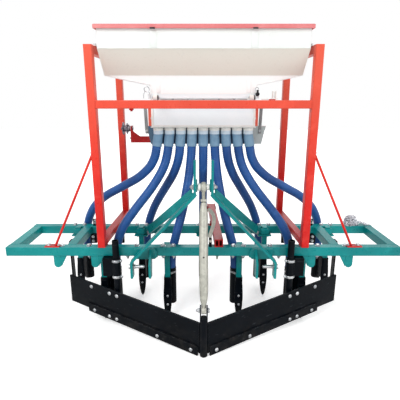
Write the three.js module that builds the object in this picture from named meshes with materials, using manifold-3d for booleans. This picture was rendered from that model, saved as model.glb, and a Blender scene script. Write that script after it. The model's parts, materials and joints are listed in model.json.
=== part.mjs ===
// Tractor-mounted seed drill: toolbar frame on nine tynes, hopper on a tower stand,
// three-point hitch at the front and a V-shaped levelling blade ahead of the tynes.
// Millimetres. +Z up, the hitch faces -Y, left and right are as seen from the hitch side.
// Every part is drawn with y measured back from the front face of the front beam and
// z from the ground; the finished group is centred over the origin at the end.

import * as THREE from "three";
import Module from "manifold-3d";
import { mergeVertices } from "three/addons/utils/BufferGeometryUtils.js";

const wasm = await Module();
wasm.setup();

// ---------------------------------------------------------------- driving sizes
// GAP parts bolted neighbours; BITE is how far a welded piece runs into the next.
const GAP = 0.3;
const BITE = 2;

const TOOLBAR_WIDTH = 2134;
const TOOLBAR_DEPTH = 406;
const BEAM = 50;
const BEAM_TOP = 450;
const TUBE_CORNER = 4;
const CROSS_BEAM_X = 724;
const LUG = { x: [590, 794], radius: 20, drop: 68, back: 12, plate: 8, gussetBack: 46, gussetFoot: 18 };

const STAND_TUBE = 40;
const STAND_TOP = 1472;
const STAND_REAR_Y = 590;
const STAND_TOE_IN = 22;
const CROSSBAR_Z = 1197;
const STAY = { topZ: 962, footX: 802, radius: 6.5, plateOut: 54, plateIn: 24, plateWidth: 38, plate: 6 };

const HOPPER_WIDTH = 1002;
const HOPPER_TO_STAND = 27;
const STAND_X = HOPPER_WIDTH / 2 + HOPPER_TO_STAND + STAND_TUBE / 2;
const HOPPER_DEPTH = 610;
const HOPPER_RIM_Z = 1545;
const HOPPER_BAND_Z = 1453;
const HOPPER_SLOPE_Z = 1338;
const HOPPER_SLOPE_INSET = 115;
const CHUTE_WIDTH = 540;
const CHUTE_SHOULDER_Z = 1293;
const CHUTE_BOTTOM_Z = 1248;
const SHEET = 3;
const LID = { sideReach: 14, topZ: 1557, edge: 19, sheet: 6, skirt: 7, frontReach: 14, backReach: 2 };
const HINGE = { x: [-340, 0, 340], y: 624, z: 1549, radius: 8, knuckle: 48, ear: 6, earDrop: 60 };
const REST_TAB = { y: [60, 500], length: 50, thick: 5, clearOfPost: 4 };

const METER = { width: 556, frontY: 165, depth: 280, bottomZ: 1078, flangeZ: 1225, flangeReach: 8 };
const END_PLATE = { y: 252, plate: 6, topZ: 1208, stripWidth: 27, bottomZ: 978, taper: 22 };
const END_PLATE_REACH = { left: 39, right: 72 };
const OUTLET_COUNT = 9;
const OUTLET_PITCH = 62;
const OUTLET_Y = 215;
const SPOUT_RADIUS = 24;
const OUTLET_STRIP = { depth: 58, plate: 6 };
const CUFF = { radius: 28, topZ: 1035, bottomZ: 970, splay: 0.045 };
const SHAFT = { y: 300, z: 1060, radius: 9, outerX: -470, innerX: -401, clearance: 0.35 };
const SPROCKETS = [{ x: -460, radius: 36, teeth: 14 }, { x: -438, radius: 31, teeth: 12 }];
const SPROCKET = { plate: 6, tooth: 6, hubRadius: 18, hubInnerX: -420 };
// One tooth, each corner as [height above the root circle, share of the pitch].
const TOOTH = [[0, 0], [1, 0.3], [SPROCKET.tooth, 0.42], [SPROCKET.tooth, 0.58], [1, 0.7]];
const BRACKET = { outerX: -414, frontY: 278, depth: 52, bottomZ: 982, plate: 6, bearing: 8, aboveShaft: 15 };
const BRACKET_WEB = { height: 36, slopeX: 24, slopeEndX: 53 };

// Distances of the tynes from the middle, from the centre tyne out to the wing.
const TYNE_OFFSETS = [0, 203, 388, 562, 781];
const SHANK = { width: 30, depth: 25, footZ: 110, pad: 10, padMargin: 8 };
const LEAF = { half: 24, plate: 8, lean: 20 };
// The leaf's edge from its top to its tip, as shares of its half width and its height.
const LEAF_EDGE = [[0.71, 1], [0.875, 0.816], [1, 0.53], [0.875, 0.286], [0.375, 0.073]];
const BOOT = { topZ: 245, cheek: 5, cheekFootZ: 112, tubeFootZ: 62, tubeTopZ: 285, tubeRadius: 26.5, web: 8 };
const TUBE_BEHIND = { front: 31, rear: 89 };
const TUBE_ASIDE = 20;
const TUBE_ASIDE_AT_STAND = 62;
const HOSE_RADIUS = 25.5;
const HOSE_SIDES = 10;
const HOSE_STEPS = 14;
const HOSE_LEAD = 20;
// Points down the middle of the centre hose and the four left of it, each [x, y, z].
const HOSE_POINTS = [
  [
    [0, 216, 923], [0, 223, 878], [0, 237, 834], [0, 258, 792], [0, 282, 752], [0, 308, 714], [0, 335, 676],
    [0, 361, 638], [0, 386, 599], [0, 408, 558], [0, 425, 515], [0, 436, 470], [0, 442, 424], [0, 444, 378],
    [0, 445, 332],
  ],
  [
    [-67, 215, 926], [-71, 212, 882], [-76, 206, 838], [-82, 199, 795], [-89, 189, 753], [-97, 179, 710],
    [-105, 168, 668], [-114, 158, 627], [-124, 148, 585], [-135, 139, 543], [-147, 131, 501],
    [-158, 125, 459], [-169, 120, 417], [-178, 117, 373], [-182, 116, 329],
  ],
  [
    [-135, 216, 920], [-146, 224, 873], [-162, 240, 829], [-181, 260, 788], [-202, 284, 751],
    [-223, 310, 715], [-244, 337, 679], [-265, 363, 643], [-286, 387, 605], [-306, 408, 566],
    [-324, 425, 524], [-341, 436, 479], [-354, 442, 432], [-363, 445, 384], [-367, 445, 335],
  ],
  [
    [-202, 214, 922], [-214, 210, 875], [-233, 203, 831], [-257, 193, 789], [-283, 182, 750],
    [-311, 171, 712], [-341, 160, 675], [-371, 149, 638], [-400, 140, 600], [-428, 132, 562],
    [-454, 126, 521], [-474, 121, 477], [-488, 118, 430], [-497, 117, 382], [-500, 116, 334],
  ],
  [
    [-271, 216, 912], [-297, 222, 860], [-336, 233, 817], [-380, 249, 781], [-428, 268, 751],
    [-476, 289, 723], [-523, 311, 695], [-570, 335, 667], [-613, 358, 636], [-654, 382, 601],
    [-691, 404, 560], [-720, 422, 513], [-742, 435, 461], [-755, 442, 404], [-760, 445, 345],
  ],
];

const HITCH_Y = -50;
const HITCH_FLAT = 50;
const HITCH_PLATE = 12;
const MAST = { halfGap: 38, topZ: 931, pinZ: 795, kneeZ: 762 };
const MAST_BRACE = { topZ: 772, footX: 340, footZ: 428, width: 48, plate: 8, footWidth: 50 };
const TOP_PIN = { radius: 12.5, collar: 7, collarHalf: 20, collarBelow: 24, collarAbove: 40 };
const LOWER_PIN_SPREAD = 662;
const LOWER_PIN_Z = 362;
const LOWER_LUG_GAP = 84;
const LOWER_PIN_RADIUS = 8;
const LOWER_PIN_LENGTH = 54;
const LUG_END = { above: 32, below: 59 };
const LOWER_PLATE = { inX: 250, topDrop: 4, below: 12 };

const BLADE_APEX_Y = -306;
const BLADE_SLOPE = 0.529;
const BLADE_HALF_WIDTH = 769;
const BLADE_HEIGHT = 180;
const BLADE_THICK = 8;
const BLADE_LIFT = 15;
const BLADE_RISE = 0.08;
const EDGE = { height: 50, startX: 26, endX: 648 };
const NOSE = { y: -297, radius: 19, topZ: 215, cheek: 6, cheekZ: 190, eyeZ: 250, clevisTop: 276 };
const STRUT = { eyeRadius: 27, eyeWidth: 24, neck: 9, pipe: 21, tail: 11.5, tongue: 17, pinClearance: 0.4 };
// Where the strut's lengths start and end, as shares of the way from the top pin to the nose.
const STRUT_RUN = { neck: [0.04, 0.16], pipe: [0.12, 0.9], tail: [0.88, 0.99] };
const LEG = { x: 468, y: -23, radius: 18, topZ: 500, footZ: 80 };
const HOLDER = { wall: 5, bottomZ: 296, reach: 72, webHalf: 10, seat: 16 };
const WING_STAY = { plate: 8, width: 40, footZ: 205 };
const ARM = { width: 46, height: 44, length: 720, x: 73, swing: 22, frontY: 4 };
const ARM_SLOT = { width: 14, pitch: 20, depth: 50 };

// ---------------------------------------------------------------- solid helpers
const X = new THREE.Vector3(1, 0, 0);
const Y = new THREE.Vector3(0, 1, 0);
const Z = new THREE.Vector3(0, 0, 1);
const WELD_TOLERANCE = 1e-4;

function solid(shape) {
  if (shape instanceof wasm.Manifold) return shape;
  const bare = shape.index ? shape.toNonIndexed() : shape.clone();
  bare.deleteAttribute("normal");
  bare.deleteAttribute("uv");
  const merged = mergeVertices(bare, WELD_TOLERANCE);
  return new wasm.Manifold(new wasm.Mesh({
    numProp: 3,
    vertProperties: Float32Array.from(merged.attributes.position.array),
    triVerts: Uint32Array.from(merged.index.array),
  }));
}

function surface(shape) {
  if (shape instanceof THREE.BufferGeometry) return shape;
  const mesh = shape.getMesh();
  const geometry = new THREE.BufferGeometry();
  geometry.setAttribute("position", new THREE.BufferAttribute(Float32Array.from(mesh.vertProperties), 3));
  geometry.setIndex(new THREE.BufferAttribute(Uint32Array.from(mesh.triVerts), 1));
  return geometry;
}

function join(...shapes) {
  return shapes.map(solid).reduce((whole, piece) => whole.add(piece));
}

function cut(shape, ...tools) {
  return tools.map(solid).reduce((whole, tool) => whole.subtract(tool), solid(shape));
}

function outline(points) {
  return new THREE.Shape(points.map(([a, b]) => new THREE.Vector2(a, b)));
}

function extruded(shape, thickness) {
  return new THREE.ExtrudeGeometry(shape, { depth: thickness, bevelEnabled: false, curveSegments: 6 });
}

function placed(geometry, u, v, w, origin) {
  const basis = new THREE.Matrix4().makeBasis(u, v, w);
  basis.setPosition(origin);
  return geometry.applyMatrix4(basis);
}

// A plate drawn in (y, z), its thickness running from xFrom towards +X.
function plateAcross(points, xFrom, thickness) {
  return placed(extruded(outline(points), thickness), Y, Z, X, new THREE.Vector3(xFrom, 0, 0));
}

// A plate drawn in (x, z), its thickness running from yBack towards -Y.
function plateFacing(points, yBack, thickness) {
  const forward = Y.clone().negate();
  return placed(extruded(outline(points), thickness), X, Z, forward, new THREE.Vector3(0, yBack, 0));
}

function box(xFrom, xTo, yFrom, yTo, zFrom, zTo) {
  const geometry = new THREE.BoxGeometry(xTo - xFrom, yTo - yFrom, zTo - zFrom);
  return geometry.translate((xFrom + xTo) / 2, (yFrom + yTo) / 2, (zFrom + zTo) / 2);
}

function roundedSection(width, height, radius) {
  const w = width / 2;
  const h = height / 2;
  const shape = new THREE.Shape();
  shape.moveTo(-w + radius, -h);
  shape.lineTo(w - radius, -h);
  shape.absarc(w - radius, -h + radius, radius, -Math.PI / 2, 0, false);
  shape.lineTo(w, h - radius);
  shape.absarc(w - radius, h - radius, radius, 0, Math.PI / 2, false);
  shape.lineTo(-w + radius, h);
  shape.absarc(-w + radius, h - radius, radius, Math.PI / 2, Math.PI, false);
  shape.lineTo(-w, -h + radius);
  shape.absarc(-w + radius, -h + radius, radius, Math.PI, 1.5 * Math.PI, false);
  return shape;
}

// A closed tube with rounded corners filling the box between two corners along one axis.
function tube(axis, xFrom, xTo, yFrom, yTo, zFrom, zTo) {
  const middle = new THREE.Vector3((xFrom + xTo) / 2, (yFrom + yTo) / 2, (zFrom + zTo) / 2);
  const size = { x: xTo - xFrom, y: yTo - yFrom, z: zTo - zFrom };
  const frames = { x: [Y, Z, X, "y", "z"], y: [Z, X, Y, "z", "x"], z: [X, Y, Z, "x", "y"] };
  const [u, v, w, a, b] = frames[axis];
  const section = roundedSection(size[a], size[b], TUBE_CORNER);
  const long = size[axis];
  const bar = new THREE.ExtrudeGeometry(section, { depth: long, bevelEnabled: false, curveSegments: 2 });
  return placed(bar, u, v, w, middle.addScaledVector(w, -long / 2));
}

function rod(from, to, radius, sides = 16) {
  const start = new THREE.Vector3(...from);
  const run = new THREE.Vector3(...to).sub(start);
  const geometry = new THREE.CylinderGeometry(radius, radius, run.length(), sides);
  geometry.applyQuaternion(new THREE.Quaternion().setFromUnitVectors(Y, run.clone().normalize()));
  return geometry.translate(start.x + run.x / 2, start.y + run.y / 2, start.z + run.z / 2);
}

// A flat bar between two points, its wide face turned towards the given direction.
function flatBar(from, to, width, thickness, facing) {
  const start = new THREE.Vector3(...from);
  const run = new THREE.Vector3(...to).sub(start);
  const along = run.clone().normalize();
  const across = new THREE.Vector3().crossVectors(along, facing).normalize();
  const normal = new THREE.Vector3().crossVectors(along, across).normalize();
  const bar = new THREE.BoxGeometry(run.length(), width, thickness);
  return placed(bar, along, across, normal, start.addScaledVector(run, 0.5));
}

function mirrored(shape) {
  const geometry = surface(shape);
  const copy = geometry.index ? geometry.toNonIndexed() : geometry.clone();
  copy.applyMatrix4(new THREE.Matrix4().makeScale(-1, 1, 1));
  const position = copy.attributes.position;
  for (let i = 0; i < position.count; i += 3) {
    const first = [position.getX(i), position.getY(i), position.getZ(i)];
    position.setXYZ(i, position.getX(i + 1), position.getY(i + 1), position.getZ(i + 1));
    position.setXYZ(i + 1, ...first);
  }
  return mergeVertices(copy, WELD_TOLERANCE);
}

function countTo(count) {
  return [...Array(count).keys()];
}

// ---------------------------------------------------------------- toolbar frame
const HALF_WIDTH = TOOLBAR_WIDTH / 2;
const BEAM_BOTTOM = BEAM_TOP - BEAM;
const REAR_BEAM_Y = TOOLBAR_DEPTH - BEAM;

function clampLug(x) {
  const low = BEAM_BOTTOM - LUG.drop;
  const root = BEAM_BOTTOM + BITE;
  const face = new THREE.Shape();
  face.moveTo(x - LUG.radius, root);
  face.lineTo(x - LUG.radius, low + LUG.radius);
  face.absarc(x, low + LUG.radius, LUG.radius, Math.PI, 2 * Math.PI, false);
  face.lineTo(x + LUG.radius, root);
  const forward = Y.clone().negate();
  const front = placed(extruded(face, LUG.plate), X, Z, forward, new THREE.Vector3(0, LUG.back, 0));
  const start = LUG.back - BITE;
  const gusset = plateAcross([
    [start, low + LUG.radius], [LUG.gussetFoot, low + LUG.radius], [LUG.gussetBack, root], [start, root],
  ], x - LUG.plate / 2, LUG.plate);
  return [front, gusset];
}

function frontBeam() {
  const lugs = LUG.x.flatMap((x) => [...clampLug(-x), ...clampLug(x)]);
  return join(tube("x", -HALF_WIDTH, HALF_WIDTH, 0, BEAM, BEAM_BOTTOM, BEAM_TOP), ...lugs);
}

function rearBeam() {
  return tube("x", -HALF_WIDTH, HALF_WIDTH, REAR_BEAM_Y, TOOLBAR_DEPTH, BEAM_BOTTOM, BEAM_TOP);
}

function depthBeam(x) {
  return tube("y", x - BEAM / 2, x + BEAM / 2, BEAM + GAP, REAR_BEAM_Y - GAP, BEAM_BOTTOM, BEAM_TOP);
}

// ---------------------------------------------------------------- tower stand
const STAND_HALF = STAND_TUBE / 2;
const TOE_IN_SLOPE = STAND_TOE_IN / (STAND_REAR_Y - STAND_HALF);

// The side frames stand closer together towards the back; this is how far at a given y.
function toeIn(y) {
  return TOE_IN_SLOPE * (y - STAND_HALF);
}

function standStay(postFace, base) {
  const y = STAND_HALF;
  const top = [postFace + STAY.radius, y, STAY.topZ];
  const foot = [-STAY.footX, y, base + STAY.plate - BITE];
  const plateHalf = STAY.plateWidth / 2;
  return [
    rod(top, foot, STAY.radius, 8),
    box(-STAY.footX - STAY.plateOut, -STAY.footX + STAY.plateIn, y - plateHalf, y + plateHalf, base,
      base + STAY.plate),
  ];
}

function standSide() {
  const outer = -STAND_X - STAND_HALF;
  const inner = -STAND_X + STAND_HALF;
  const base = BEAM_TOP + GAP;
  const rearFront = STAND_REAR_Y - STAND_HALF;
  const rearBack = STAND_REAR_Y + STAND_HALF;
  const railEnd = rearBack - BITE;
  const straight = join(
    tube("z", outer, inner, 0, STAND_TUBE, base, STAND_TOP),
    tube("z", outer, inner, rearFront, rearBack, base, STAND_TOP - BITE),
    tube("y", outer, inner, STAND_HALF, railEnd, base, base + STAND_TUBE),
    tube("y", outer, inner, STAND_HALF, railEnd, STAND_TOP - STAND_TUBE, STAND_TOP),
    ...standStay(outer, base),
  );
  const slant = new THREE.Matrix4().set(
    1, TOE_IN_SLOPE, 0, -TOE_IN_SLOPE * STAND_HALF,
    0, 1, 0, 0,
    0, 0, 1, 0,
    0, 0, 0, 1,
  );
  return surface(straight).applyMatrix4(slant);
}

function crossbar(y) {
  const reach = STAND_X - STAND_HALF - toeIn(y + STAND_HALF) - GAP;
  const low = CROSSBAR_Z - STAND_HALF;
  return tube("x", -reach, reach, y - STAND_HALF, y + STAND_HALF, low, low + STAND_TUBE);
}

// ---------------------------------------------------------------- hopper
const HOPPER_HALF = HOPPER_WIDTH / 2;
const SLOPE_OVERLAP = 6;

// The hopper's outside at inset 0, or its hollow at an inset of one sheet.
function hopperShell(inset) {
  const x = HOPPER_HALF - inset;
  const back = HOPPER_DEPTH - inset;
  const slopeFront = HOPPER_SLOPE_INSET + inset;
  const slopeBack = HOPPER_DEPTH - HOPPER_SLOPE_INSET - inset;
  const upper = plateAcross([
    [inset, HOPPER_BAND_Z], [slopeFront, HOPPER_SLOPE_Z], [slopeBack, HOPPER_SLOPE_Z],
    [back, HOPPER_BAND_Z], [back, HOPPER_RIM_Z + inset], [inset, HOPPER_RIM_Z + inset],
  ], -x, 2 * x);
  const chute = CHUTE_WIDTH / 2 - inset;
  const top = HOPPER_SLOPE_Z + SLOPE_OVERLAP;
  const floorEdge = HOPPER_SLOPE_Z - 1 + inset;
  const lower = plateFacing([
    [-x, top], [-x, floorEdge], [-chute, CHUTE_SHOULDER_Z + inset], [-chute, CHUTE_BOTTOM_Z + inset],
    [chute, CHUTE_BOTTOM_Z + inset], [chute, CHUTE_SHOULDER_Z + inset], [x, floorEdge], [x, top],
  ], slopeBack, slopeBack - slopeFront);
  return join(upper, lower);
}

function hingeEar(xFrom) {
  const { y, z, radius } = HINGE;
  const wall = HOPPER_DEPTH - 1;
  return plateAcross([
    [wall, HOPPER_RIM_Z - HINGE.earDrop], [y, z - 3 * radius], [y + radius, z - radius + BITE],
    [y + radius, z + radius / 2], [y + radius / 2, z + radius], [y - radius / 2, z + radius],
    [wall, HOPPER_RIM_Z - radius],
  ], xFrom, HINGE.ear);
}

function restTab(side, y) {
  const outer = STAND_X + STAND_HALF - toeIn(y + REST_TAB.length) - REST_TAB.clearOfPost;
  const ends = [side * (HOPPER_HALF - BITE), side * outer];
  const low = STAND_TOP + GAP;
  return box(Math.min(...ends), Math.max(...ends), y, y + REST_TAB.length, low, low + REST_TAB.thick);
}

function hopperTank() {
  const earInside = HINGE.knuckle / 2 + HINGE.ear;
  const ears = HINGE.x.flatMap((x) => [hingeEar(x - earInside - HINGE.ear), hingeEar(x + earInside)]);
  const tabs = [-1, 1].flatMap((side) => REST_TAB.y.map((y) => restTab(side, y)));
  return join(cut(hopperShell(0), hopperShell(SHEET)), ...ears, ...tabs);
}

function hopperLid() {
  const half = HOPPER_HALF + LID.sideReach;
  const front = -LID.frontReach;
  const back = HOPPER_DEPTH + LID.backReach;
  const under = LID.topZ - LID.edge;
  const skirtTop = LID.topZ - 1;
  const knuckleHalf = HINGE.knuckle / 2;
  const cover = box(-half, half, front, back, LID.topZ - LID.sheet, LID.topZ);
  const skirts = [
    box(-half, half, front, front + LID.skirt, under, skirtTop),
    box(-half, -half + LID.skirt, front, back, under, skirtTop),
    box(half - LID.skirt, half, front, back, under, skirtTop),
  ];
  const knuckles = HINGE.x.flatMap((x) => [
    rod([x - knuckleHalf, HINGE.y, HINGE.z], [x + knuckleHalf, HINGE.y, HINGE.z], HINGE.radius, 12),
    box(x - knuckleHalf, x + knuckleHalf, back - BITE, HINGE.y, LID.topZ - LID.sheet, skirtTop),
  ]);
  return join(cover, ...skirts, ...knuckles);
}

// ---------------------------------------------------------------- metering unit
const METER_HALF = METER.width / 2;

// One plate stands across behind the spouts; its ends widen below the strips beside the box.
function spoutPlate() {
  const strip = METER_HALF + END_PLATE.stripWidth;
  const left = METER_HALF + END_PLATE_REACH.left;
  const right = METER_HALF + END_PLATE_REACH.right;
  const { topZ, bottomZ, taper } = END_PLATE;
  return plateFacing([
    [-strip, topZ], [-strip, METER.bottomZ], [-left, METER.bottomZ], [taper - left, bottomZ],
    [right - taper, bottomZ], [right, METER.bottomZ], [strip, METER.bottomZ], [strip, topZ],
  ], END_PLATE.y, END_PLATE.plate);
}

function meteringBox() {
  const back = METER.frontY + METER.depth;
  const flangeHalf = METER_HALF + METER.flangeReach;
  const flangeBack = HOPPER_DEPTH - HOPPER_SLOPE_INSET;
  const flangeTop = CHUTE_BOTTOM_Z - GAP;
  const flange = box(-flangeHalf, flangeHalf, HOPPER_SLOPE_INSET, flangeBack, METER.flangeZ, flangeTop);
  const body = box(-METER_HALF, METER_HALF, METER.frontY, back, METER.bottomZ, METER.flangeZ + BITE);
  return join(flange, body, spoutPlate());
}

function outletX(index) {
  return (index - (OUTLET_COUNT - 1) / 2) * OUTLET_PITCH;
}

// The middle of a cuff at a given height; the cuffs lean outwards, more towards the ends.
function cuffPoint(index, z) {
  const lean = (CUFF.splay * (CUFF.topZ - z)) / (CUFF.topZ - CUFF.bottomZ);
  return [outletX(index) * (1 + lean), OUTLET_Y, z];
}

function outletManifold() {
  const top = METER.bottomZ - GAP;
  const reach = outletX(OUTLET_COUNT - 1) + OUTLET_PITCH / 2 - BITE;
  const half = OUTLET_STRIP.depth / 2;
  const strip = box(-reach, reach, OUTLET_Y - half, OUTLET_Y + half, top - OUTLET_STRIP.plate, top);
  const spouts = countTo(OUTLET_COUNT).flatMap((index) => [
    rod(cuffPoint(index, CUFF.topZ - BITE), [outletX(index), OUTLET_Y, top - BITE], SPOUT_RADIUS),
    rod(cuffPoint(index, CUFF.bottomZ), cuffPoint(index, CUFF.topZ), CUFF.radius),
  ]);
  return join(strip, ...spouts);
}

function sprocket({ x, radius, teeth }) {
  const step = (2 * Math.PI) / teeth;
  const root = radius - SPROCKET.tooth;
  const points = countTo(teeth).flatMap((index) => TOOTH.map(([height, part]) => {
    const reach = root + height;
    const turn = (index + part) * step;
    return [SHAFT.y + reach * Math.cos(turn), SHAFT.z + reach * Math.sin(turn)];
  }));
  return plateAcross(points, x, SPROCKET.plate);
}

function meteringShaft() {
  const along = (x) => [x, SHAFT.y, SHAFT.z];
  return join(
    rod(along(SHAFT.outerX), along(SHAFT.innerX), SHAFT.radius),
    rod(along(SPROCKETS[0].x), along(SPROCKET.hubInnerX), SPROCKET.hubRadius),
    ...SPROCKETS.map(sprocket),
  );
}

function driveBracket() {
  const { outerX, frontY, bottomZ, plate } = BRACKET;
  const backY = frontY + BRACKET.depth;
  const boxSide = -METER_HALF - GAP;
  const hangerX = boxSide - 2 * plate;
  const topZ = SHAFT.z + BRACKET.aboveShaft;
  const shelfZ = bottomZ + plate;
  const webTop = bottomZ + BRACKET_WEB.height;
  const web = plateFacing([
    [outerX, bottomZ], [hangerX + BITE, bottomZ], [hangerX + BITE, webTop],
    [outerX + BRACKET_WEB.slopeEndX, webTop], [outerX + BRACKET_WEB.slopeX, (webTop + SHAFT.z) / 2],
    [outerX, SHAFT.z],
  ], frontY + plate, plate);
  const bearing = box(outerX, outerX + BRACKET.bearing, frontY, backY, bottomZ, topZ);
  const shelf = box(outerX, boxSide, frontY, backY, bottomZ, shelfZ);
  const hanger = box(hangerX, boxSide, frontY, backY, bottomZ, METER.flangeZ - BEAM / 2);
  const boreEnd = outerX + BRACKET.bearing + BITE;
  const bore = rod([outerX - BITE, SHAFT.y, SHAFT.z], [boreEnd, SHAFT.y, SHAFT.z], SHAFT.radius + SHAFT.clearance);
  return cut(join(web, bearing, shelf, hanger), bore);
}

// ---------------------------------------------------------------- tynes and seed hoses
const TYNE_COUNT = 2 * TYNE_OFFSETS.length - 1;
const CENTRE_TYNE = TYNE_OFFSETS.length;

function isRearRow(number) {
  return number % 2 === 1;
}

function tyneX(number) {
  const place = number - CENTRE_TYNE;
  return Math.sign(place) * TYNE_OFFSETS[Math.abs(place)];
}

// The y of the shank's front face: behind the front beam's pad, or before the rear beam.
function shankFront(number) {
  return isRearRow(number) ? REAR_BEAM_Y - GAP - SHANK.depth : BEAM + SHANK.pad;
}

// The tubes stand inboard of their shanks; the pair below the stand's rails stands further in.
function tubeCentre(number) {
  const x = tyneX(number);
  const belowStand = Math.abs(Math.abs(x) - STAND_X) < STAND_TUBE + HOSE_RADIUS;
  const inward = -Math.sign(x) * (belowStand ? TUBE_ASIDE_AT_STAND : TUBE_ASIDE);
  const behind = isRearRow(number) ? TUBE_BEHIND.rear : TUBE_BEHIND.front;
  return [x + inward, shankFront(number) + SHANK.depth + behind];
}

function shank(number) {
  const x = tyneX(number);
  const half = SHANK.width / 2;
  const front = shankFront(number);
  const bar = box(x - half, x + half, front, front + SHANK.depth, SHANK.footZ, BEAM_TOP);
  if (isRearRow(number)) return bar;
  const padHalf = half + SHANK.padMargin;
  const pad = box(x - padHalf, x + padHalf, BEAM + GAP, front + 1, BEAM_BOTTOM + BITE, BEAM_TOP - BITE);
  return join(bar, pad);
}

// The pointed share in front of the shank, leaning forward towards its tip on the ground.
function bootLeaf(x, front) {
  const half = LEAF_EDGE.map(([reach, height]) => [reach * LEAF.half, height * BOOT.topZ]);
  const right = half.map(([reach, z]) => [x + reach, z]).reverse();
  const left = half.map(([reach, z]) => [x - reach, z]);
  const leaf = plateFacing([...left, [x, 0], ...right], 0, LEAF.plate);
  const position = leaf.attributes.position;
  for (let i = 0; i < position.count; i += 1) {
    const drop = 1 - position.getZ(i) / BOOT.topZ;
    position.setY(i, position.getY(i) + front - LEAF.lean * drop);
  }
  return leaf;
}

function boot(number) {
  const x = tyneX(number);
  const front = shankFront(number) - GAP;
  const [tubeX, tubeY] = tubeCentre(number);
  const cheekHalf = SHANK.width / 2 + GAP;
  const cheekBack = tubeY - BOOT.web;
  const backFootZ = BOOT.cheekFootZ - LEAF.half;
  const cheek = (xFrom) => plateAcross([
    [front - BITE, BOOT.topZ], [front - LEAF.lean / 2 - BITE, BOOT.cheekFootZ], [cheekBack, backFootZ],
    [tubeY, backFootZ], [tubeY, BOOT.topZ],
  ], xFrom, BOOT.cheek);
  const edges = [x - cheekHalf, x + cheekHalf, tubeX];
  const webTop = BOOT.topZ - BOOT.web;
  const web = box(Math.min(...edges), Math.max(...edges), cheekBack, tubeY, BOOT.cheekFootZ, webTop);
  const spout = rod([tubeX, tubeY, BOOT.tubeFootZ], [tubeX, tubeY, BOOT.tubeTopZ], BOOT.tubeRadius);
  return join(bootLeaf(x, front), cheek(x - cheekHalf - BOOT.cheek), cheek(x + cheekHalf), web, spout);
}

// The middle line of a hose, straight out of its cuff, over to its own tyne and down into the tube.
function hoseRoute(number) {
  const place = number - CENTRE_TYNE;
  const side = place > 0 ? -1 : 1;
  const [endX, endY] = tubeCentre(number);
  const foot = BOOT.tubeTopZ + GAP;
  const points = [
    cuffPoint(number - 1, CUFF.bottomZ - GAP),
    cuffPoint(number - 1, CUFF.bottomZ - HOSE_LEAD),
    ...HOSE_POINTS[Math.abs(place)].map(([x, y, z]) => [side * x, y, z]),
    [endX, endY, foot + HOSE_LEAD],
    [endX, endY, foot],
  ];
  return points.map((point) => new THREE.Vector3(...point));
}

function seedHose(number) {
  const circle = outline(countTo(HOSE_SIDES).map((index) => {
    const angle = (index / HOSE_SIDES) * 2 * Math.PI;
    return [HOSE_RADIUS * Math.cos(angle), HOSE_RADIUS * Math.sin(angle)];
  }));
  const path = new THREE.CatmullRomCurve3(hoseRoute(number), false, "centripetal");
  return new THREE.ExtrudeGeometry(circle, { extrudePath: path, steps: HOSE_STEPS, bevelEnabled: false });
}

// ---------------------------------------------------------------- three-point hitch
const HITCH_FRONT = HITCH_Y - HITCH_FLAT / 2;
const HITCH_BACK = HITCH_Y + HITCH_FLAT / 2;
const LUG_OUTER_X = (LOWER_PIN_SPREAD + LOWER_LUG_GAP) / 2;
const LUG_INNER_X = (LOWER_PIN_SPREAD - LOWER_LUG_GAP) / 2;
const LUG_BOTTOM_Z = LOWER_PIN_Z - LUG_END.below;

// The brace leaves the leg below the knee, so the face that the top link lies on stays clear.
function mastLeft() {
  const inner = -MAST.halfGap;
  const outer = inner - HITCH_PLATE;
  const lugIn = -LUG_OUTER_X;
  const lugOut = lugIn - HITCH_PLATE;
  const lugTop = LOWER_PIN_Z + LUG_END.above;
  const flat = plateFacing([
    [inner, MAST.topZ], [outer, MAST.topZ], [outer, MAST.kneeZ], [lugOut, lugTop], [lugOut, LUG_BOTTOM_Z],
    [lugIn, LUG_BOTTOM_Z], [lugIn, lugTop - HITCH_PLATE / 3], [inner, MAST.kneeZ - HITCH_PLATE],
  ], HITCH_BACK, HITCH_FLAT);
  const { footX, footZ, footWidth } = MAST_BRACE;
  const footBack = REAR_BEAM_Y - GAP;
  const top = [outer + HITCH_PLATE / 2, HITCH_Y, MAST_BRACE.topZ];
  const end = [-footX, footBack - 2 * MAST_BRACE.plate, footZ];
  const bar = flatBar(top, end, MAST_BRACE.width, MAST_BRACE.plate, new THREE.Vector3(0, -1, 0.6));
  const aboveKnee = box(outer - MAST_BRACE.width, outer, HITCH_FRONT, HITCH_BACK, MAST.kneeZ - 1, MAST.topZ);
  const brace = cut(bar, aboveKnee);
  const foot = box(-footX - footWidth / 2, -footX + footWidth / 2, footBack - MAST_BRACE.plate, footBack,
    BEAM_BOTTOM + BITE, BEAM_TOP - BITE);
  const pin = rod([lugIn - BITE, HITCH_Y, LOWER_PIN_Z], [lugIn + LOWER_PIN_LENGTH, HITCH_Y, LOWER_PIN_Z],
    LOWER_PIN_RADIUS);
  return join(flat, brace, foot, pin);
}

function topHitchPin() {
  const reach = MAST.halfGap - GAP;
  const { radius, collar, collarHalf } = TOP_PIN;
  const collarAt = (xFrom) => box(xFrom, xFrom + collar, HITCH_Y - collarHalf, HITCH_Y + collarHalf,
    MAST.pinZ - TOP_PIN.collarBelow, MAST.pinZ + TOP_PIN.collarAbove);
  return join(
    rod([-reach, HITCH_Y, MAST.pinZ], [reach, HITCH_Y, MAST.pinZ], radius),
    collarAt(-reach),
    collarAt(reach - collar),
  );
}

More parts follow.
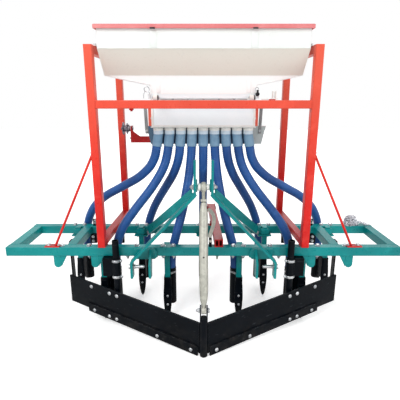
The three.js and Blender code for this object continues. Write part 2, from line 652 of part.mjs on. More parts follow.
function lowerHitchLeft() {
  const outX = -LUG_OUTER_X + GAP;
  const innerX = -LUG_INNER_X;
  const plateFront = -HITCH_PLATE;
  const plateTop = BEAM_TOP - LOWER_PLATE.topDrop;
  const plateBottom = BEAM_BOTTOM - LOWER_PLATE.below;
  const corner = HITCH_PLATE;
  const plate = plateFacing([
    [outX, plateTop], [outX, plateBottom], [-LOWER_PLATE.inX - corner, plateBottom],
    [-LOWER_PLATE.inX, plateBottom + corner], [-LOWER_PLATE.inX, plateTop - corner],
    [-LOWER_PLATE.inX - corner, plateTop],
  ], -GAP, HITCH_PLATE - GAP);
  const innerLug = plateAcross([
    [-GAP, plateTop], [-GAP, plateBottom], [HITCH_BACK, LUG_BOTTOM_Z], [HITCH_FRONT + BITE, LUG_BOTTOM_Z],
    [HITCH_FRONT, LOWER_PIN_Z - LOWER_PIN_RADIUS], [HITCH_FRONT, LOWER_PIN_Z + 2 * LOWER_PIN_RADIUS],
    [plateFront, plateTop],
  ], innerX, HITCH_PLATE);
  return join(plate, innerLug);
}

// ---------------------------------------------------------------- V blade
const BLADE_ANGLE = Math.atan(BLADE_SLOPE);

function bladeStrip(fromX, toX, low, high, inFront) {
  const start = fromX / Math.cos(BLADE_ANGLE);
  const end = toX / Math.cos(BLADE_ANGLE);
  const rise = BLADE_RISE * Math.cos(BLADE_ANGLE);
  const strip = plateFacing([
    [start, low + rise * start], [end, low + rise * end],
    [end, high + rise * end], [start, high + rise * start],
  ], -inFront, BLADE_THICK);
  return strip.rotateZ(BLADE_ANGLE).translate(0, BLADE_APEX_Y, 0);
}

function bladeRight() {
  const half = BLADE_THICK / 2;
  const start = NOSE.radius + half;
  const mouldboard = bladeStrip(start, BLADE_HALF_WIDTH, BLADE_LIFT, BLADE_HEIGHT, -half);
  const edge = bladeStrip(EDGE.startX, EDGE.endX, 0, EDGE.height, half - 1);
  return join(mouldboard, edge);
}

function bladeBackY(x) {
  return BLADE_APEX_Y + BLADE_SLOPE * x + BLADE_THICK / 2 / Math.cos(BLADE_ANGLE);
}

function nosePost() {
  const { y, radius, cheek, clevisTop } = NOSE;
  const side = (xFrom) => plateAcross([
    [y - radius + BITE, NOSE.cheekZ], [y + radius - BITE, NOSE.cheekZ], [y + radius, clevisTop - 2 * cheek],
    [y + radius / 2, clevisTop], [y - radius / 2, clevisTop], [y - radius, clevisTop - 2 * cheek],
  ], xFrom, cheek);
  return join(
    rod([0, y, 0], [0, y, NOSE.topZ], radius, 20),
    side(-radius),
    side(radius - cheek),
  );
}

function noseStrut() {
  const half = STRUT.eyeWidth / 2;
  const across = (radius, reach, y, z) => rod([-reach, y, z], [reach, y, z], radius, 20);
  const top = [0, HITCH_Y, MAST.pinZ];
  const foot = [0, NOSE.y, NOSE.eyeZ];
  const along = (part) => top.map((value, axis) => value + (foot[axis] - value) * part);
  const length = ([start, end], radius, sides) => rod(along(start), along(end), radius, sides);
  const eye = cut(
    across(STRUT.eyeRadius, half, HITCH_Y, MAST.pinZ),
    across(TOP_PIN.radius + STRUT.pinClearance, half + 1, HITCH_Y, MAST.pinZ),
  );
  return join(
    eye,
    length(STRUT_RUN.neck, STRUT.neck, 12),
    length(STRUT_RUN.pipe, STRUT.pipe, 20),
    length(STRUT_RUN.tail, STRUT.tail, 12),
    across(STRUT.tongue, half, NOSE.y, NOSE.eyeZ),
  );
}

function bladeLegRight() {
  return rod([LEG.x, LEG.y, LEG.footZ], [LEG.x, LEG.y, LEG.topZ], LEG.radius, 20);
}

function legHolderRight() {
  const { x, y } = LEG;
  const top = BEAM_BOTTOM - BITE;
  const nearY = y - HOLDER.webHalf;
  const outer = x + HOLDER.reach;
  const sleeve = rod([x, y, HOLDER.bottomZ], [x, y, top], LEG.radius + HOLDER.wall, 20);
  const web = box(x + LEG.radius, outer, nearY, y + HOLDER.webHalf, HOLDER.bottomZ + BITE, top);
  const seatInner = x + LEG.radius + HOLDER.wall;
  const seat = box(seatInner, outer, nearY, BEAM - BITE, top - HOLDER.seat, BEAM_BOTTOM - GAP);
  const bore = rod([x, y, HOLDER.bottomZ - BITE], [x, y, BEAM_TOP], LEG.radius + GAP, 20);
  return cut(join(sleeve, web, seat), bore);
}

function wingStayRight() {
  const inner = CROSS_BEAM_X + BEAM / 2 + GAP;
  const outer = inner + WING_STAY.plate;
  const front = bladeBackY(outer) + GAP;
  return box(inner, outer, front, front + WING_STAY.width, WING_STAY.footZ, BEAM_TOP - BITE);
}

// ---------------------------------------------------------------- centre arm
function centreArm() {
  const low = BEAM_TOP + GAP;
  const arm = new THREE.BoxGeometry(ARM.width, ARM.length, ARM.height);
  arm.rotateZ(Math.atan(ARM.swing / ARM.length));
  arm.translate(ARM.x, ARM.frontY + ARM.length / 2, low + ARM.height / 2);
  const frontX = ARM.x + ARM.swing / 2;
  const half = ARM_SLOT.width / 2;
  const wall = (ARM.width - ARM_SLOT.pitch) / 2 - half;
  const slots = [-1, 1].map((side) => {
    const centre = frontX + (side * ARM_SLOT.pitch) / 2;
    return box(centre - half, centre + half, -ARM_SLOT.depth, ARM.frontY + ARM_SLOT.depth,
      low + wall, low + ARM.height - wall);
  });
  return cut(arm, ...slots);
}

// ---------------------------------------------------------------- finishes and assembly
const FINISH = {
  teal: { color: 0x1d9a97, roughness: 0.45, metalness: 0.0 },
  red: { color: 0xe5402f, roughness: 0.45, metalness: 0.0 },
  white: { color: 0xf1f0ec, roughness: 0.4, metalness: 0.0 },
  black: { color: 0x1c1f24, roughness: 0.55, metalness: 0.0 },
  steel: { color: 0xa9acb0, roughness: 0.35, metalness: 0.9 },
  galvanised: { color: 0xd8d9cf, roughness: 0.45, metalness: 0.6 },
  hose: { color: 0x2f56a8, roughness: 0.5, metalness: 0.0 },
};

function mesh(name, shape, finish) {
  const piece = new THREE.Mesh(surface(shape), new THREE.MeshStandardMaterial(FINISH[finish]));
  piece.name = name;
  return piece;
}

function pair(stem, right, finish) {
  return [mesh(`${stem}_left`, mirrored(right), finish), mesh(`${stem}_right`, right, finish)];
}

function leftPair(stem, left, finish) {
  return [mesh(`${stem}_left`, left, finish), mesh(`${stem}_right`, mirrored(left), finish)];
}

const tynes = countTo(TYNE_COUNT).map((index) => index + 1);

const pieces = [
  mesh("front_beam", frontBeam(), "teal"),
  mesh("rear_beam", rearBeam(), "teal"),
  ...pair("end_beam", depthBeam(HALF_WIDTH - BEAM / 2), "teal"),
  ...pair("cross_beam", depthBeam(CROSS_BEAM_X), "teal"),
  ...leftPair("stand", standSide(), "red"),
  mesh("stand_crossbar_front", crossbar(STAND_HALF), "red"),
  mesh("stand_crossbar_rear", crossbar(STAND_REAR_Y), "red"),
  mesh("hopper_tank", hopperTank(), "white"),
  mesh("hopper_lid", hopperLid(), "red"),
  mesh("metering_box", meteringBox(), "white"),
  mesh("outlet_manifold", outletManifold(), "white"),
  mesh("metering_shaft", meteringShaft(), "steel"),
  mesh("drive_bracket", driveBracket(), "red"),
  ...leftPair("mast", mastLeft(), "teal"),
  mesh("top_hitch_pin", topHitchPin(), "steel"),
  ...leftPair("lower_hitch", lowerHitchLeft(), "teal"),
  ...pair("blade", bladeRight(), "black"),
  mesh("nose_post", nosePost(), "black"),
  mesh("nose_strut", noseStrut(), "galvanised"),
  ...pair("blade_leg", bladeLegRight(), "black"),
  ...pair("leg_holder", legHolderRight(), "black"),
  ...pair("wing_stay", wingStayRight(), "black"),
  mesh("centre_arm", centreArm(), "red"),
  ...tynes.map((number) => mesh(`tyne_shank_${number}`, shank(number), "teal")),
  ...tynes.map((number) => mesh(`tyne_boot_${number}`, boot(number), "black")),
  ...tynes.map((number) => mesh(`seed_hose_${number}`, seedHose(number), "hose")),
];

const drill = new THREE.Group();
drill.name = "seed_drill";
drill.add(...pieces);

const bounds = new THREE.Box3().setFromObject(drill);
const middle = bounds.getCenter(new THREE.Vector3());
pieces.forEach((piece) => piece.geometry.translate(-middle.x, -middle.y, -bounds.min.z));

export default drill;
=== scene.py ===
import json
import math
import random

import bmesh
import bpy
from mathutils import Matrix, Vector


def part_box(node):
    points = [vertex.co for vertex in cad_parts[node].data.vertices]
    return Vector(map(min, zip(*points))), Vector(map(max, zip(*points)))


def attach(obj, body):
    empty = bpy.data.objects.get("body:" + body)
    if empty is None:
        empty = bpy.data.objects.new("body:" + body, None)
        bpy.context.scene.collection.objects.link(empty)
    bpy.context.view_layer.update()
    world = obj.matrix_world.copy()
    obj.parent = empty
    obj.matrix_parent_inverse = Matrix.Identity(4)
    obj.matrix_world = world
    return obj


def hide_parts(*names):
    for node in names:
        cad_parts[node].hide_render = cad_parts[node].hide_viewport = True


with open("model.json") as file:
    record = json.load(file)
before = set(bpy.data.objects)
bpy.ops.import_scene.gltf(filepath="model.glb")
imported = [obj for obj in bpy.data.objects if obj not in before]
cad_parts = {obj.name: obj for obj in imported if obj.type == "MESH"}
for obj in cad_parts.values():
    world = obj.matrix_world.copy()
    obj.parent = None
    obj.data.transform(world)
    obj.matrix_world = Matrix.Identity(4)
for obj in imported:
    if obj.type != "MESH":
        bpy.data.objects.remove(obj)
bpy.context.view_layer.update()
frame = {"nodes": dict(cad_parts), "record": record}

# Sizes below are millimetres in the part's own drawing frame: x from the centre plane, y back
# from the front face of the front beam, z up from the ground. row() turns them into the frame's.
FRONT_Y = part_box("front_beam")[0].y
MM = 0.001
X, Y, Z = Vector((1, 0, 0)), Vector((0, 1, 0)), Vector((0, 0, 1))


def row(point):
    x, y, z = point
    return Vector((x * MM, FRONT_Y + y * MM, z * MM))


def node_box(name):
    """Lowest and highest corner of a CAD node in drawing millimetres."""
    low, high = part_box(name)
    shift = Vector((0, FRONT_Y, 0))
    return (low - shift) / MM, (high - shift) / MM


# ---------------------------------------------------------------- camera
CAMERA_AT = row((-18, -1886, 1218))
CAMERA_TILT = 75.07
LENS = 33.75
SENSOR = 36


def add_camera():
    data = bpy.data.cameras.new("camera")
    data.lens, data.sensor_width = LENS, SENSOR
    camera = bpy.data.objects.new("camera", data)
    bpy.context.scene.collection.objects.link(camera)
    camera.location = CAMERA_AT
    camera.rotation_euler = (math.radians(CAMERA_TILT), 0, 0)
    bpy.context.scene.camera = camera


# ---------------------------------------------------------------- mesh building
class Maker:
    """Collects closed shells drawn in millimetres and turns them into one object."""

    def __init__(self):
        self.verts = []
        self.faces = []

    def shell(self, verts, faces, place=None):
        start = len(self.verts)
        self.verts += [place @ Vector(v) if place else Vector(v) for v in verts]
        self.faces += [[start + i for i in face] for face in faces]

    def piece(self, name, material, body="drill", slot=None, sharp=35, stands_for=None):
        """One object on a body. Its slot is the finish's own, and it may stand for a CAD node. The slot
        argument is not used.
        """
        mesh = bpy.data.meshes.new(name)
        mesh.from_pydata([row(v) for v in self.verts], [], self.faces)
        bm = bmesh.new()
        bm.from_mesh(mesh)
        bmesh.ops.recalc_face_normals(bm, faces=bm.faces)
        bm.to_mesh(mesh)
        bm.free()
        mesh.shade_smooth()
        mesh.set_sharp_from_angle(angle=math.radians(sharp))
        mesh.materials.append(material)
        obj = bpy.data.objects.new(name, mesh)
        bpy.context.scene.collection.objects.link(obj)
        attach(obj, body)
        if stands_for:
            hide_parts(stands_for)
        return obj


def across_x(x, y=0, z=0):
    """A drawing in (y, z) moved to a point, its thickness running towards +X."""
    return Matrix(((0, 0, 1, x), (1, 0, 0, y), (0, 1, 0, z), (0, 0, 0, 1)))


def facing_front(y, x=0, z=0):
    """A drawing in (x, z) moved to a point, its thickness running towards the hitch."""
    return Matrix(((1, 0, 0, x), (0, 0, -1, y), (0, 1, 0, z), (0, 0, 0, 1)))


def aim(at, direction, up=None):
    """A frame at a point with its z along a direction."""
    w = Vector(direction).normalized()
    hint = Vector(up) if up is not None else (Z if abs(w.z) < 0.9 else Y)
    u = hint.cross(w).normalized()
    v = w.cross(u)
    m = Matrix((u, v, w)).transposed().to_4x4()
    m.translation = Vector(at)
    return m


def ring_faces(rings, sides, closed=False):
    """The faces of rings laid one after another, capped at both ends unless they close on themselves."""
    faces = []
    for i in range(rings if closed else rings - 1):
        j = (i + 1) % rings
        for k in range(sides):
            n = (k + 1) % sides
            faces.append((i * sides + k, i * sides + n, j * sides + n, j * sides + k))
    if not closed:
        faces.append(tuple(reversed(range(sides))))
        faces.append(tuple(range((rings - 1) * sides, rings * sides)))
    return faces


def lathe(maker, profile, place, sides=24, closed=False, turn=0.0):
    """Rings of (radius, height) round the frame's z. A closed profile makes a hollow ring."""
    verts = []
    for radius, height in profile:
        for k in range(sides):
            a = 2 * math.pi * k / sides + turn
            verts.append((radius * math.cos(a), radius * math.sin(a), height))
    maker.shell(verts, ring_faces(len(profile), sides, closed), place)


def round_rod(maker, start, end, radius, sides=24, chamfer=1.0):
    """A round bar between two points with chamfered ends."""
    start, end = Vector(start), Vector(end)
    length = (end - start).length
    c = min(chamfer, radius * 0.5, length * 0.3)
    lathe(maker, [(radius - c, 0), (radius, c), (radius, length - c), (radius - c, length)],
          aim(start, end - start), sides)


def pipe_ring(maker, start, end, inner, outer, sides=28, chamfer=0.8):
    """A hollow round sleeve between two points."""
    start, end = Vector(start), Vector(end)
    n, c = (end - start).length, chamfer
    profile = [(inner, 0), (outer - c, 0), (outer, c), (outer, n - c), (outer - c, n), (inner, n)]
    lathe(maker, profile, aim(start, end - start), sides, closed=True)


def sweep(maker, points, radius, sides=10, closed=False, flat=1.0, up=None, ripple=None):
    """A round or flattened section carried along a line of points."""
    points = [Vector(p) for p in points]
    count = len(points)
    verts = []
    side = None
    for i, point in enumerate(points):
        before = points[i - 1] if i or closed else point
        after = points[(i + 1) % count] if i < count - 1 or closed else point
        along = (after - before).normalized()
        if side is None:
            hint = Vector(up) if up is not None else (Z if abs(along.z) < 0.8 else Y)
            side = along.cross(hint).normalized()
        else:
            side = (side - along * side.dot(along)).normalized()
        other = along.cross(side)
        size = radius * (ripple(i) if ripple else 1)
        for k in range(sides):
            a = 2 * math.pi * (k + 0.5) / sides
            verts.append(point + side * (size * math.cos(a)) + other * (size * flat * math.sin(a)))
    maker.shell(verts, ring_faces(count, sides, closed))


def bevelled(maker, outline, thickness, place, bevel=1.0, segments=2):
    """A plate drawn in the frame's xy, its thickness along z, with eased edges."""
    bm = bmesh.new()
    face = bm.faces.new([bm.verts.new((a, b, 0)) for a, b in outline])
    lifted = bmesh.ops.extrude_face_region(bm, geom=[face])
    tops = [v for v in lifted["geom"] if isinstance(v, bmesh.types.BMVert)]
    bmesh.ops.translate(bm, verts=tops, vec=(0, 0, thickness))
    bmesh.ops.recalc_face_normals(bm, faces=bm.faces)
    bmesh.ops.bevel(bm, geom=list(bm.edges), offset=bevel, segments=segments, profile=0.5,
                    affect="EDGES", clamp_overlap=True)
    bm.verts.ensure_lookup_table()
    bm.verts.index_update()
    maker.shell([v.co.copy() for v in bm.verts], [[v.index for v in f.verts] for f in bm.faces], place)
    bm.free()


def slab(maker, low, high, bevel=1.0, segments=2):
    """A bevelled block between two corners."""
    low, high = Vector(low), Vector(high)
    size = high - low
    outline = [(0, 0), (size.x, 0), (size.x, size.y), (0, size.y)]
    bevelled(maker, outline, size.z, Matrix.Translation(low), min(bevel, min(size) * 0.4), segments)


def rounded_outline(width, height, radius):
    """A rectangle with round corners, centred, as points."""
    points, steps = [], 5
    for cx, cy, start in ((1, 1, 0), (-1, 1, 90), (-1, -1, 180), (1, -1, 270)):
        for k in range(steps + 1):
            a = math.radians(start + 90 * k / steps)
            points.append((cx * (width / 2 - radius) + radius * math.cos(a),
                           cy * (height / 2 - radius) + radius * math.sin(a)))
    return points


# ---------------------------------------------------------------- fasteners
def washer(maker, at, axis, size):
    """A washer on a face; gives the point on its outer side."""
    rim, wide = size * 0.9, size * 1.06
    rings = [(rim, 0), (wide, size * 0.03), (wide, size * 0.13), (rim, size * 0.17)]
    lathe(maker, rings, aim(at, axis), 24)
    return Vector(at) + Vector(axis).normalized() * size * 0.17


def hex_head(maker, at, axis, size, turn=0.0):
    """A bolt head with its washer; size is the thread's diameter."""
    seat = washer(maker, at, axis, size)
    wide = size * 0.86
    lathe(maker, [(wide * 0.97, 0), (wide, size * 0.05), (wide, size * 0.5), (wide * 0.87, size * 0.66)],
          aim(seat, axis), 6, turn=turn)
    lathe(maker, [(wide * 0.84, size * 0.5), (wide * 0.8, size * 0.67), (wide * 0.5, size * 0.71)],
          aim(seat, axis), 18)


def nut_and_thread(maker, at, axis, size, stick=0.8, turn=0.3):
    """A nut on its washer with the bolt's thread standing out of it."""
    seat = washer(maker, at, axis, size)
    wide = size * 0.87
    tall = size * 0.8
    lathe(maker, [(wide * 0.88, 0), (wide, size * 0.1), (wide, tall - size * 0.1), (wide * 0.88, tall)],
          aim(seat, axis), 6, turn=turn)
    rings = [(size * 0.47, tall * 0.9)]
    pitch = size * 0.13
    turns = max(1, int(stick * size / pitch))
    for k in range(turns):
        rings += [(size * 0.5, tall + pitch * (k + 0.4)), (size * 0.44, tall + pitch * (k + 0.9))]
    rings.append((size * 0.36, tall + pitch * (turns + 0.6)))
    lathe(maker, rings, aim(seat, axis), 14)


def coach_head(maker, at, axis, radius, height):
    """A low domed bolt head."""
    rings = [(radius, 0), (radius, height * 0.25), (radius * 0.88, height * 0.65),
             (radius * 0.6, height * 0.92), (radius * 0.25, height)]
    lathe(maker, rings, aim(at, axis), 20)


def weld(maker, points, radius, seed=0):
    """A rippled weld bead along a polyline."""
    rng = random.Random(seed * 7919 + len(maker.verts))
    points = [Vector(p) for p in points]
    line = [points[0]]
    for a, b in zip(points, points[1:]):
        steps = max(2, int((b - a).length / (radius * 0.55)))
        line += [a + (b - a) * (k / steps) for k in range(1, steps + 1)]
    line = [p + Vector([rng.uniform(-0.06, 0.06) * radius for _ in range(3)]) for p in line]
    sweep(maker, line, radius, sides=8,
          ripple=lambda i: 1 + 0.16 * math.sin(i * 2.1) + 0.05 * math.sin(i * 0.7))


def weld_loop(maker, corners, radius, seed=0):
    """A weld bead round a closed ring of corners."""
    weld(maker, list(corners) + [corners[0]], radius, seed)


# ---------------------------------------------------------------- finishes
def colour(red, green, blue):
    """An sRGB colour from 0 to 255 as the linear colour a shader takes."""
    def linear(value):
        value /= 255
        return value / 12.92 if value <= 0.04045 else ((value + 0.055) / 1.055) ** 2.4
    return (linear(red), linear(green), linear(blue), 1)


NOISE_ROUGHNESS = 0.55
COAT_ROUGHNESS = 0.18
EASE_SAMPLES = 4


class Shade:
    """One material under construction: short names for its nodes and links."""

    def __init__(self, name):
        self.material = bpy.data.materials.new(name)
        self.material.use_nodes = True
        self.tree = self.material.node_tree
        self.shader = self.tree.nodes["Principled BSDF"]
        self.place = self.node("ShaderNodeTexCoord").outputs["Object"]

    def node(self, kind, **settings):
        made = self.tree.nodes.new(kind)
        for key, value in settings.items():
            setattr(made, key, value)
        return made

    def link(self, source, target):
        self.tree.links.new(source, target)

    def put(self, target, value):
        if isinstance(value, bpy.types.NodeSocket):
            self.link(value, target)
        else:
            target.default_value = value

    def noise(self, scale, detail, stretch=None, warp=0.0):
        made = self.node("ShaderNodeTexNoise")
        made.inputs["Scale"].default_value = scale
        made.inputs["Detail"].default_value = detail
        made.inputs["Roughness"].default_value = NOISE_ROUGHNESS
        made.inputs["Distortion"].default_value = warp
        self.link(self.stretched(stretch), made.inputs["Vector"])
        return made.outputs["Fac"]

    def stretched(self, scale):
        if scale is None:
            return self.place
        mapping = self.node("ShaderNodeMapping")
        mapping.inputs["Scale"].default_value = scale
        self.link(self.place, mapping.inputs["Vector"])
        return mapping.outputs["Vector"]

    def cells(self, scale):
        made = self.node("ShaderNodeTexVoronoi")
        made.inputs["Scale"].default_value = scale
        self.link(self.place, made.inputs["Vector"])
        return made

    def span(self, value, low, high, to_low=0.0, to_high=1.0):
        made = self.node("ShaderNodeMapRange", interpolation_type="SMOOTHSTEP")
        self.put(made.inputs["Value"], value)
        numbers = {"From Min": low, "From Max": high, "To Min": to_low, "To Max": to_high}
        for name, number in numbers.items():
            made.inputs[name].default_value = number
        return made.outputs["Result"]

    def math(self, operation, a, b):
        made = self.node("ShaderNodeMath", operation=operation)
        self.put(made.inputs[0], a)
        self.put(made.inputs[1], b)
        return made.outputs["Value"]

    def times(self, a, b):
        return self.math("MULTIPLY", a, b)

    def plus(self, a, b):
        return self.math("ADD", a, b)

    def mix(self, share, first, second):
        made = self.node("ShaderNodeMix", data_type="RGBA")
        self.put(made.inputs["Factor"], share)
        self.put(made.inputs["A"], first)
        self.put(made.inputs["B"], second)
        return made.outputs["Result"]

    def axis(self, vector, name):
        made = self.node("ShaderNodeSeparateXYZ")
        self.link(vector, made.inputs["Vector"])
        return made.outputs[name]

    def facing_up(self):
        return self.axis(self.node("ShaderNodeNewGeometry").outputs["Normal"], "Z")

    def edges(self, radius, low, high):
        """About 1 on outer edges and corners, 0 on flat faces, from how far the eased normal turns."""
        eased = self.node("ShaderNodeBevel", samples=EASE_SAMPLES)
        eased.inputs["Radius"].default_value = radius
        facing = self.node("ShaderNodeVectorMath", operation="DOT_PRODUCT")
        self.link(eased.outputs["Normal"], facing.inputs[0])
        self.link(self.node("ShaderNodeNewGeometry").outputs["Normal"], facing.inputs[1])
        return self.span(facing.outputs["Value"], high, low)

    def bump(self, heights, distance, strength, ease=0.0):
        made = self.node("ShaderNodeBump")
        made.inputs["Strength"].default_value = strength
        made.inputs["Distance"].default_value = distance
        self.link(heights, made.inputs["Height"])
        if ease:
            eased = self.node("ShaderNodeBevel", samples=EASE_SAMPLES)
            eased.inputs["Radius"].default_value = ease
            self.link(eased.outputs["Normal"], made.inputs["Normal"])
        self.link(made.outputs["Normal"], self.shader.inputs["Normal"])

    def finish(self, base, rough, metallic=0.0, coat=0.0, specular=0.3):
        self.put(self.shader.inputs["Base Color"], base)
        self.put(self.shader.inputs["Roughness"], rough)
        self.shader.inputs["Metallic"].default_value = metallic
        self.shader.inputs["Coat Weight"].default_value = coat
        self.shader.inputs["Specular IOR Level"].default_value = specular
        self.shader.inputs["Coat Roughness"].default_value = COAT_ROUGHNESS
        return self.material


def enamel(name, base, deep, pale, chip, dust=0.10, gloss=0.32, wear=0.5, coat=0.06, banded=None):
    """Brushed or sprayed gloss enamel: uneven film, worn edges, a few chips and dust on top faces."""
    s = Shade(name)
    tone = s.mix(s.span(s.noise(2.6, 3), 0.35, 0.68), deep, base)
    tone = s.mix(s.times(s.span(s.noise(9.0, 5, warp=0.6), 0.5, 0.78), 0.5), tone, pale)
    if banded:
        tone = banded(s, tone)
    streak = s.span(s.noise(30, 4, stretch=(1, 1, 0.06)), 0.56, 0.82)
    tone = s.mix(s.times(streak, 0.16), tone, deep)
    worn = s.times(s.edges(0.0035, 0.75, 0.985), s.span(s.noise(42, 5), 0.42, 0.6))
    tone = s.mix(s.times(worn, wear), tone, pale)
    spots = s.times(s.span(s.cells(26).outputs["Distance"], 0.13, 0.09),
                   s.span(s.noise(5.5, 2), 0.6, 0.66))
    chips = s.math("MAXIMUM", s.times(worn, s.span(s.noise(120, 3), 0.6, 0.66)), spots)
    tone = s.mix(s.times(chips, wear), tone, chip)
    settled = s.times(s.span(s.facing_up(), 0.55, 1.0), s.span(s.noise(17, 6), 0.38, 0.72))
    tone = s.mix(s.times(settled, dust), tone, colour(206, 196, 180))
    rough = s.span(s.noise(75, 4), 0.25, 0.8, gloss - 0.07, gloss + 0.12)
    s.bump(s.plus(s.times(s.noise(260, 3), 0.6), s.noise(48, 3)), 0.0006, 0.35, ease=0.0018)
    return s.finish(tone, rough, coat=coat, specular=0.26)


def shaded_low_tops(s, tone):
    """Painted shade darkens the upper faces of the red bars that lie low on the frame."""
    low = s.span(s.axis(s.place, "Z"), 0.62, 0.52)
    low_top_shade = s.times(s.span(s.facing_up(), 0.5, 0.95), low)
    # Painted shade: the low upward faces are mixed towards a deeper red.
    return s.mix(s.times(low_top_shade, 0.85), tone, colour(156, 16, 24))


def shaded_low_lit_high(s, tone):
    """Painted highlight: the red turns a lighter salmon towards the top of the stand, above the painted shade
    on the low upper faces.
    """
    tone = shaded_low_tops(s, tone)
    height = s.axis(s.place, "Z")
    # Painted highlight: mixed towards a light salmon higher up the stand.
    return s.mix(s.times(s.span(height, 0.62, 1.5), 0.6), tone, colour(240, 116, 88))


def hopper_shade_bands(s, tone):
    """Painted shade: a grey-beige tint on the hopper's sloping belly, where it lies in shade; the chute below
    is a brighter white.
    """
    height = s.axis(s.place, "Z")
    low, high = s.span(height, 1.334, 1.340), s.span(height, 1.456, 1.450)
    # Painted shade: the belly's sideways and downward faces between the two heights.
    belly_shade = s.times(s.times(low, high), s.span(s.facing_up(), 0.05, -0.15))
    tone = s.mix(s.times(belly_shade, 0.85), tone, colour(242, 240, 228))
    return s.mix(s.span(height, 1.340, 1.334), tone, colour(252, 254, 254))


def end_plate_bands(s, tone):
    """The metering box is white between salmon strips; painted shade makes the plate behind the spouts dark
    blue-grey, its left end a lighter blue-grey and its right end pale grey.
    """
    sideways = s.axis(s.place, "X")
    across = s.math("ABSOLUTE", sideways, 0)
    height = s.axis(s.place, "Z")
    strip = s.times(s.math("GREATER_THAN", across, 0.2785), s.math("LESS_THAN", height, 1.215))
    tone = s.mix(strip, tone, colour(238, 104, 84))
    # Painted shade: dark blue-grey below the box, where shade falls behind the cuffs.
    plate = s.math("LESS_THAN", height, 1.0775)
    right = s.math("GREATER_THAN", sideways, 0.279)
    left = s.math("LESS_THAN", sideways, -0.279)
    shade = s.mix(left, colour(52, 84, 124), colour(88, 118, 142))
    shade = s.mix(right, shade, colour(182, 192, 192))
    return s.mix(plate, tone, shade)


def bare_steel(name, base, deep, gloss=0.32, metallic=1.0):
    """Zinc plated steel: fine brushing, cloudy patches and a little brown bloom."""
    s = Shade(name)
    tone = s.mix(s.span(s.noise(14, 5), 0.35, 0.7), deep, base)
    tone = s.mix(s.times(s.span(s.noise(38, 6), 0.6, 0.82), 0.35), tone, colour(150, 128, 104))
    lines = s.noise(160, 3, stretch=(1, 1, 14))
    rough = s.span(lines, 0.3, 0.75, gloss - 0.08, gloss + 0.16)
    s.bump(s.plus(lines, s.noise(300, 2)), 0.0003, 0.3)
    return s.finish(tone, rough, metallic)


def galvanised_steel(name):
    """Hot-dip zinc: crystal spangle, pale film and grey scuffs."""
    s = Shade(name)
    grain = s.cells(70)
    spangle = s.axis(grain.outputs["Color"], "X")
    tone = s.mix(s.span(spangle, 0.1, 0.9), colour(172, 172, 162), colour(192, 192, 181))
    tone = s.mix(s.span(s.noise(9, 5, stretch=(1, 1, 0.2)), 0.45, 0.75, 0, 0.55), tone, colour(212, 210, 199))
    scuff = s.span(s.noise(60, 6, stretch=(1, 0.3, 0.08)), 0.56, 0.74)
    tone = s.mix(s.times(scuff, 0.55), tone, colour(132, 131, 122))
    s.bump(s.plus(s.times(spangle, 0.3), s.noise(90, 3)), 0.0004, 0.35)
    return s.finish(tone, s.span(spangle, 0.0, 1.0, 0.42, 0.55), 0.3)


def black_paint(name):
    """Satin black with worn edges, fine scratches and pale soil dust near the ground."""
    s = Shade(name)
    tone = s.mix(s.span(s.noise(4.5, 5), 0.3, 0.75), colour(2, 6, 12), colour(6, 12, 20))
    scratch = s.span(s.noise(55, 3, stretch=(0.12, 1, 1.6)), 0.64, 0.70)
    tone = s.mix(s.times(scratch, 0.22), tone, colour(78, 82, 88))
    worn = s.times(s.edges(0.004, 0.7, 0.985), s.span(s.noise(36, 5), 0.44, 0.58))
    tone = s.mix(s.times(worn, 0.40), tone, colour(98, 101, 104))
    soil = s.times(s.span(s.axis(s.place, "Z"), 0.16, 0.0), s.span(s.noise(22, 6), 0.40, 0.74))
    tone = s.mix(s.times(soil, 0.12), tone, colour(112, 104, 94))
    rough = s.span(s.noise(60, 4), 0.25, 0.8, 0.32, 0.50)
    s.bump(s.plus(s.times(s.noise(210, 3), 0.7), s.noise(40, 4)), 0.0007, 0.4, ease=0.0016)
    return s.finish(tone, rough, specular=0.10)


def hose_plastic(name, base, deep, pale, rough=0.36):
    """Flexible PVC: faint cloudiness, handling marks and a soft sheen."""
    s = Shade(name)
    tone = s.mix(s.span(s.noise(5, 4), 0.3, 0.7), deep, base)
    tone = s.mix(s.times(s.span(s.noise(18, 6, warp=0.8), 0.55, 0.8), 0.4), tone, pale)
    marks = s.span(s.noise(34, 5, stretch=(1, 1, 0.3)), 0.62, 0.7)
    tone = s.mix(s.times(marks, 0.25), tone, pale)
    s.bump(s.plus(s.times(s.noise(240, 2), 0.5), s.noise(60, 3)), 0.0006, 0.3)
    sheen = s.span(s.noise(50, 4), 0.3, 0.75, rough - 0.06, rough + 0.1)
    return s.finish(tone, sheen, coat=0.08, specular=0.28)


TEAL = enamel("teal_enamel", colour(0, 150, 149), colour(0, 124, 126), colour(34, 168, 166),
              colour(106, 122, 118), dust=0.02)
RED = enamel("red_enamel", colour(232, 38, 30), colour(210, 24, 20), colour(242, 84, 70), colour(132, 96, 88),
             dust=0.02, banded=shaded_low_lit_high)
LID_RED = enamel("lid_enamel", colour(232, 142, 142), colour(222, 122, 124), colour(240, 168, 166),
                 colour(156, 116, 112), dust=0.06, gloss=0.58, coat=0.0)
DARK_RED = enamel("dark_red_enamel", colour(200, 24, 26), colour(164, 14, 18), colour(214, 52, 46),
                  colour(110, 84, 78), dust=0.02, banded=shaded_low_tops)
WHITE = enamel("white_enamel", colour(242, 241, 237), colour(232, 230, 225), colour(250, 249, 246),
               colour(186, 180, 170), dust=0.05, wear=0.3)
HOPPER = enamel("hopper_enamel", colour(242, 245, 243), colour(235, 239, 236), colour(248, 250, 248),
                colour(190, 184, 174), dust=0.05, wear=0.25, banded=hopper_shade_bands)
METER = enamel("meter_enamel", colour(243, 250, 253), colour(236, 244, 248), colour(249, 252, 253),
               colour(180, 176, 168), dust=0.05, wear=0.3, banded=end_plate_bands)
BLACK = black_paint("black_satin")
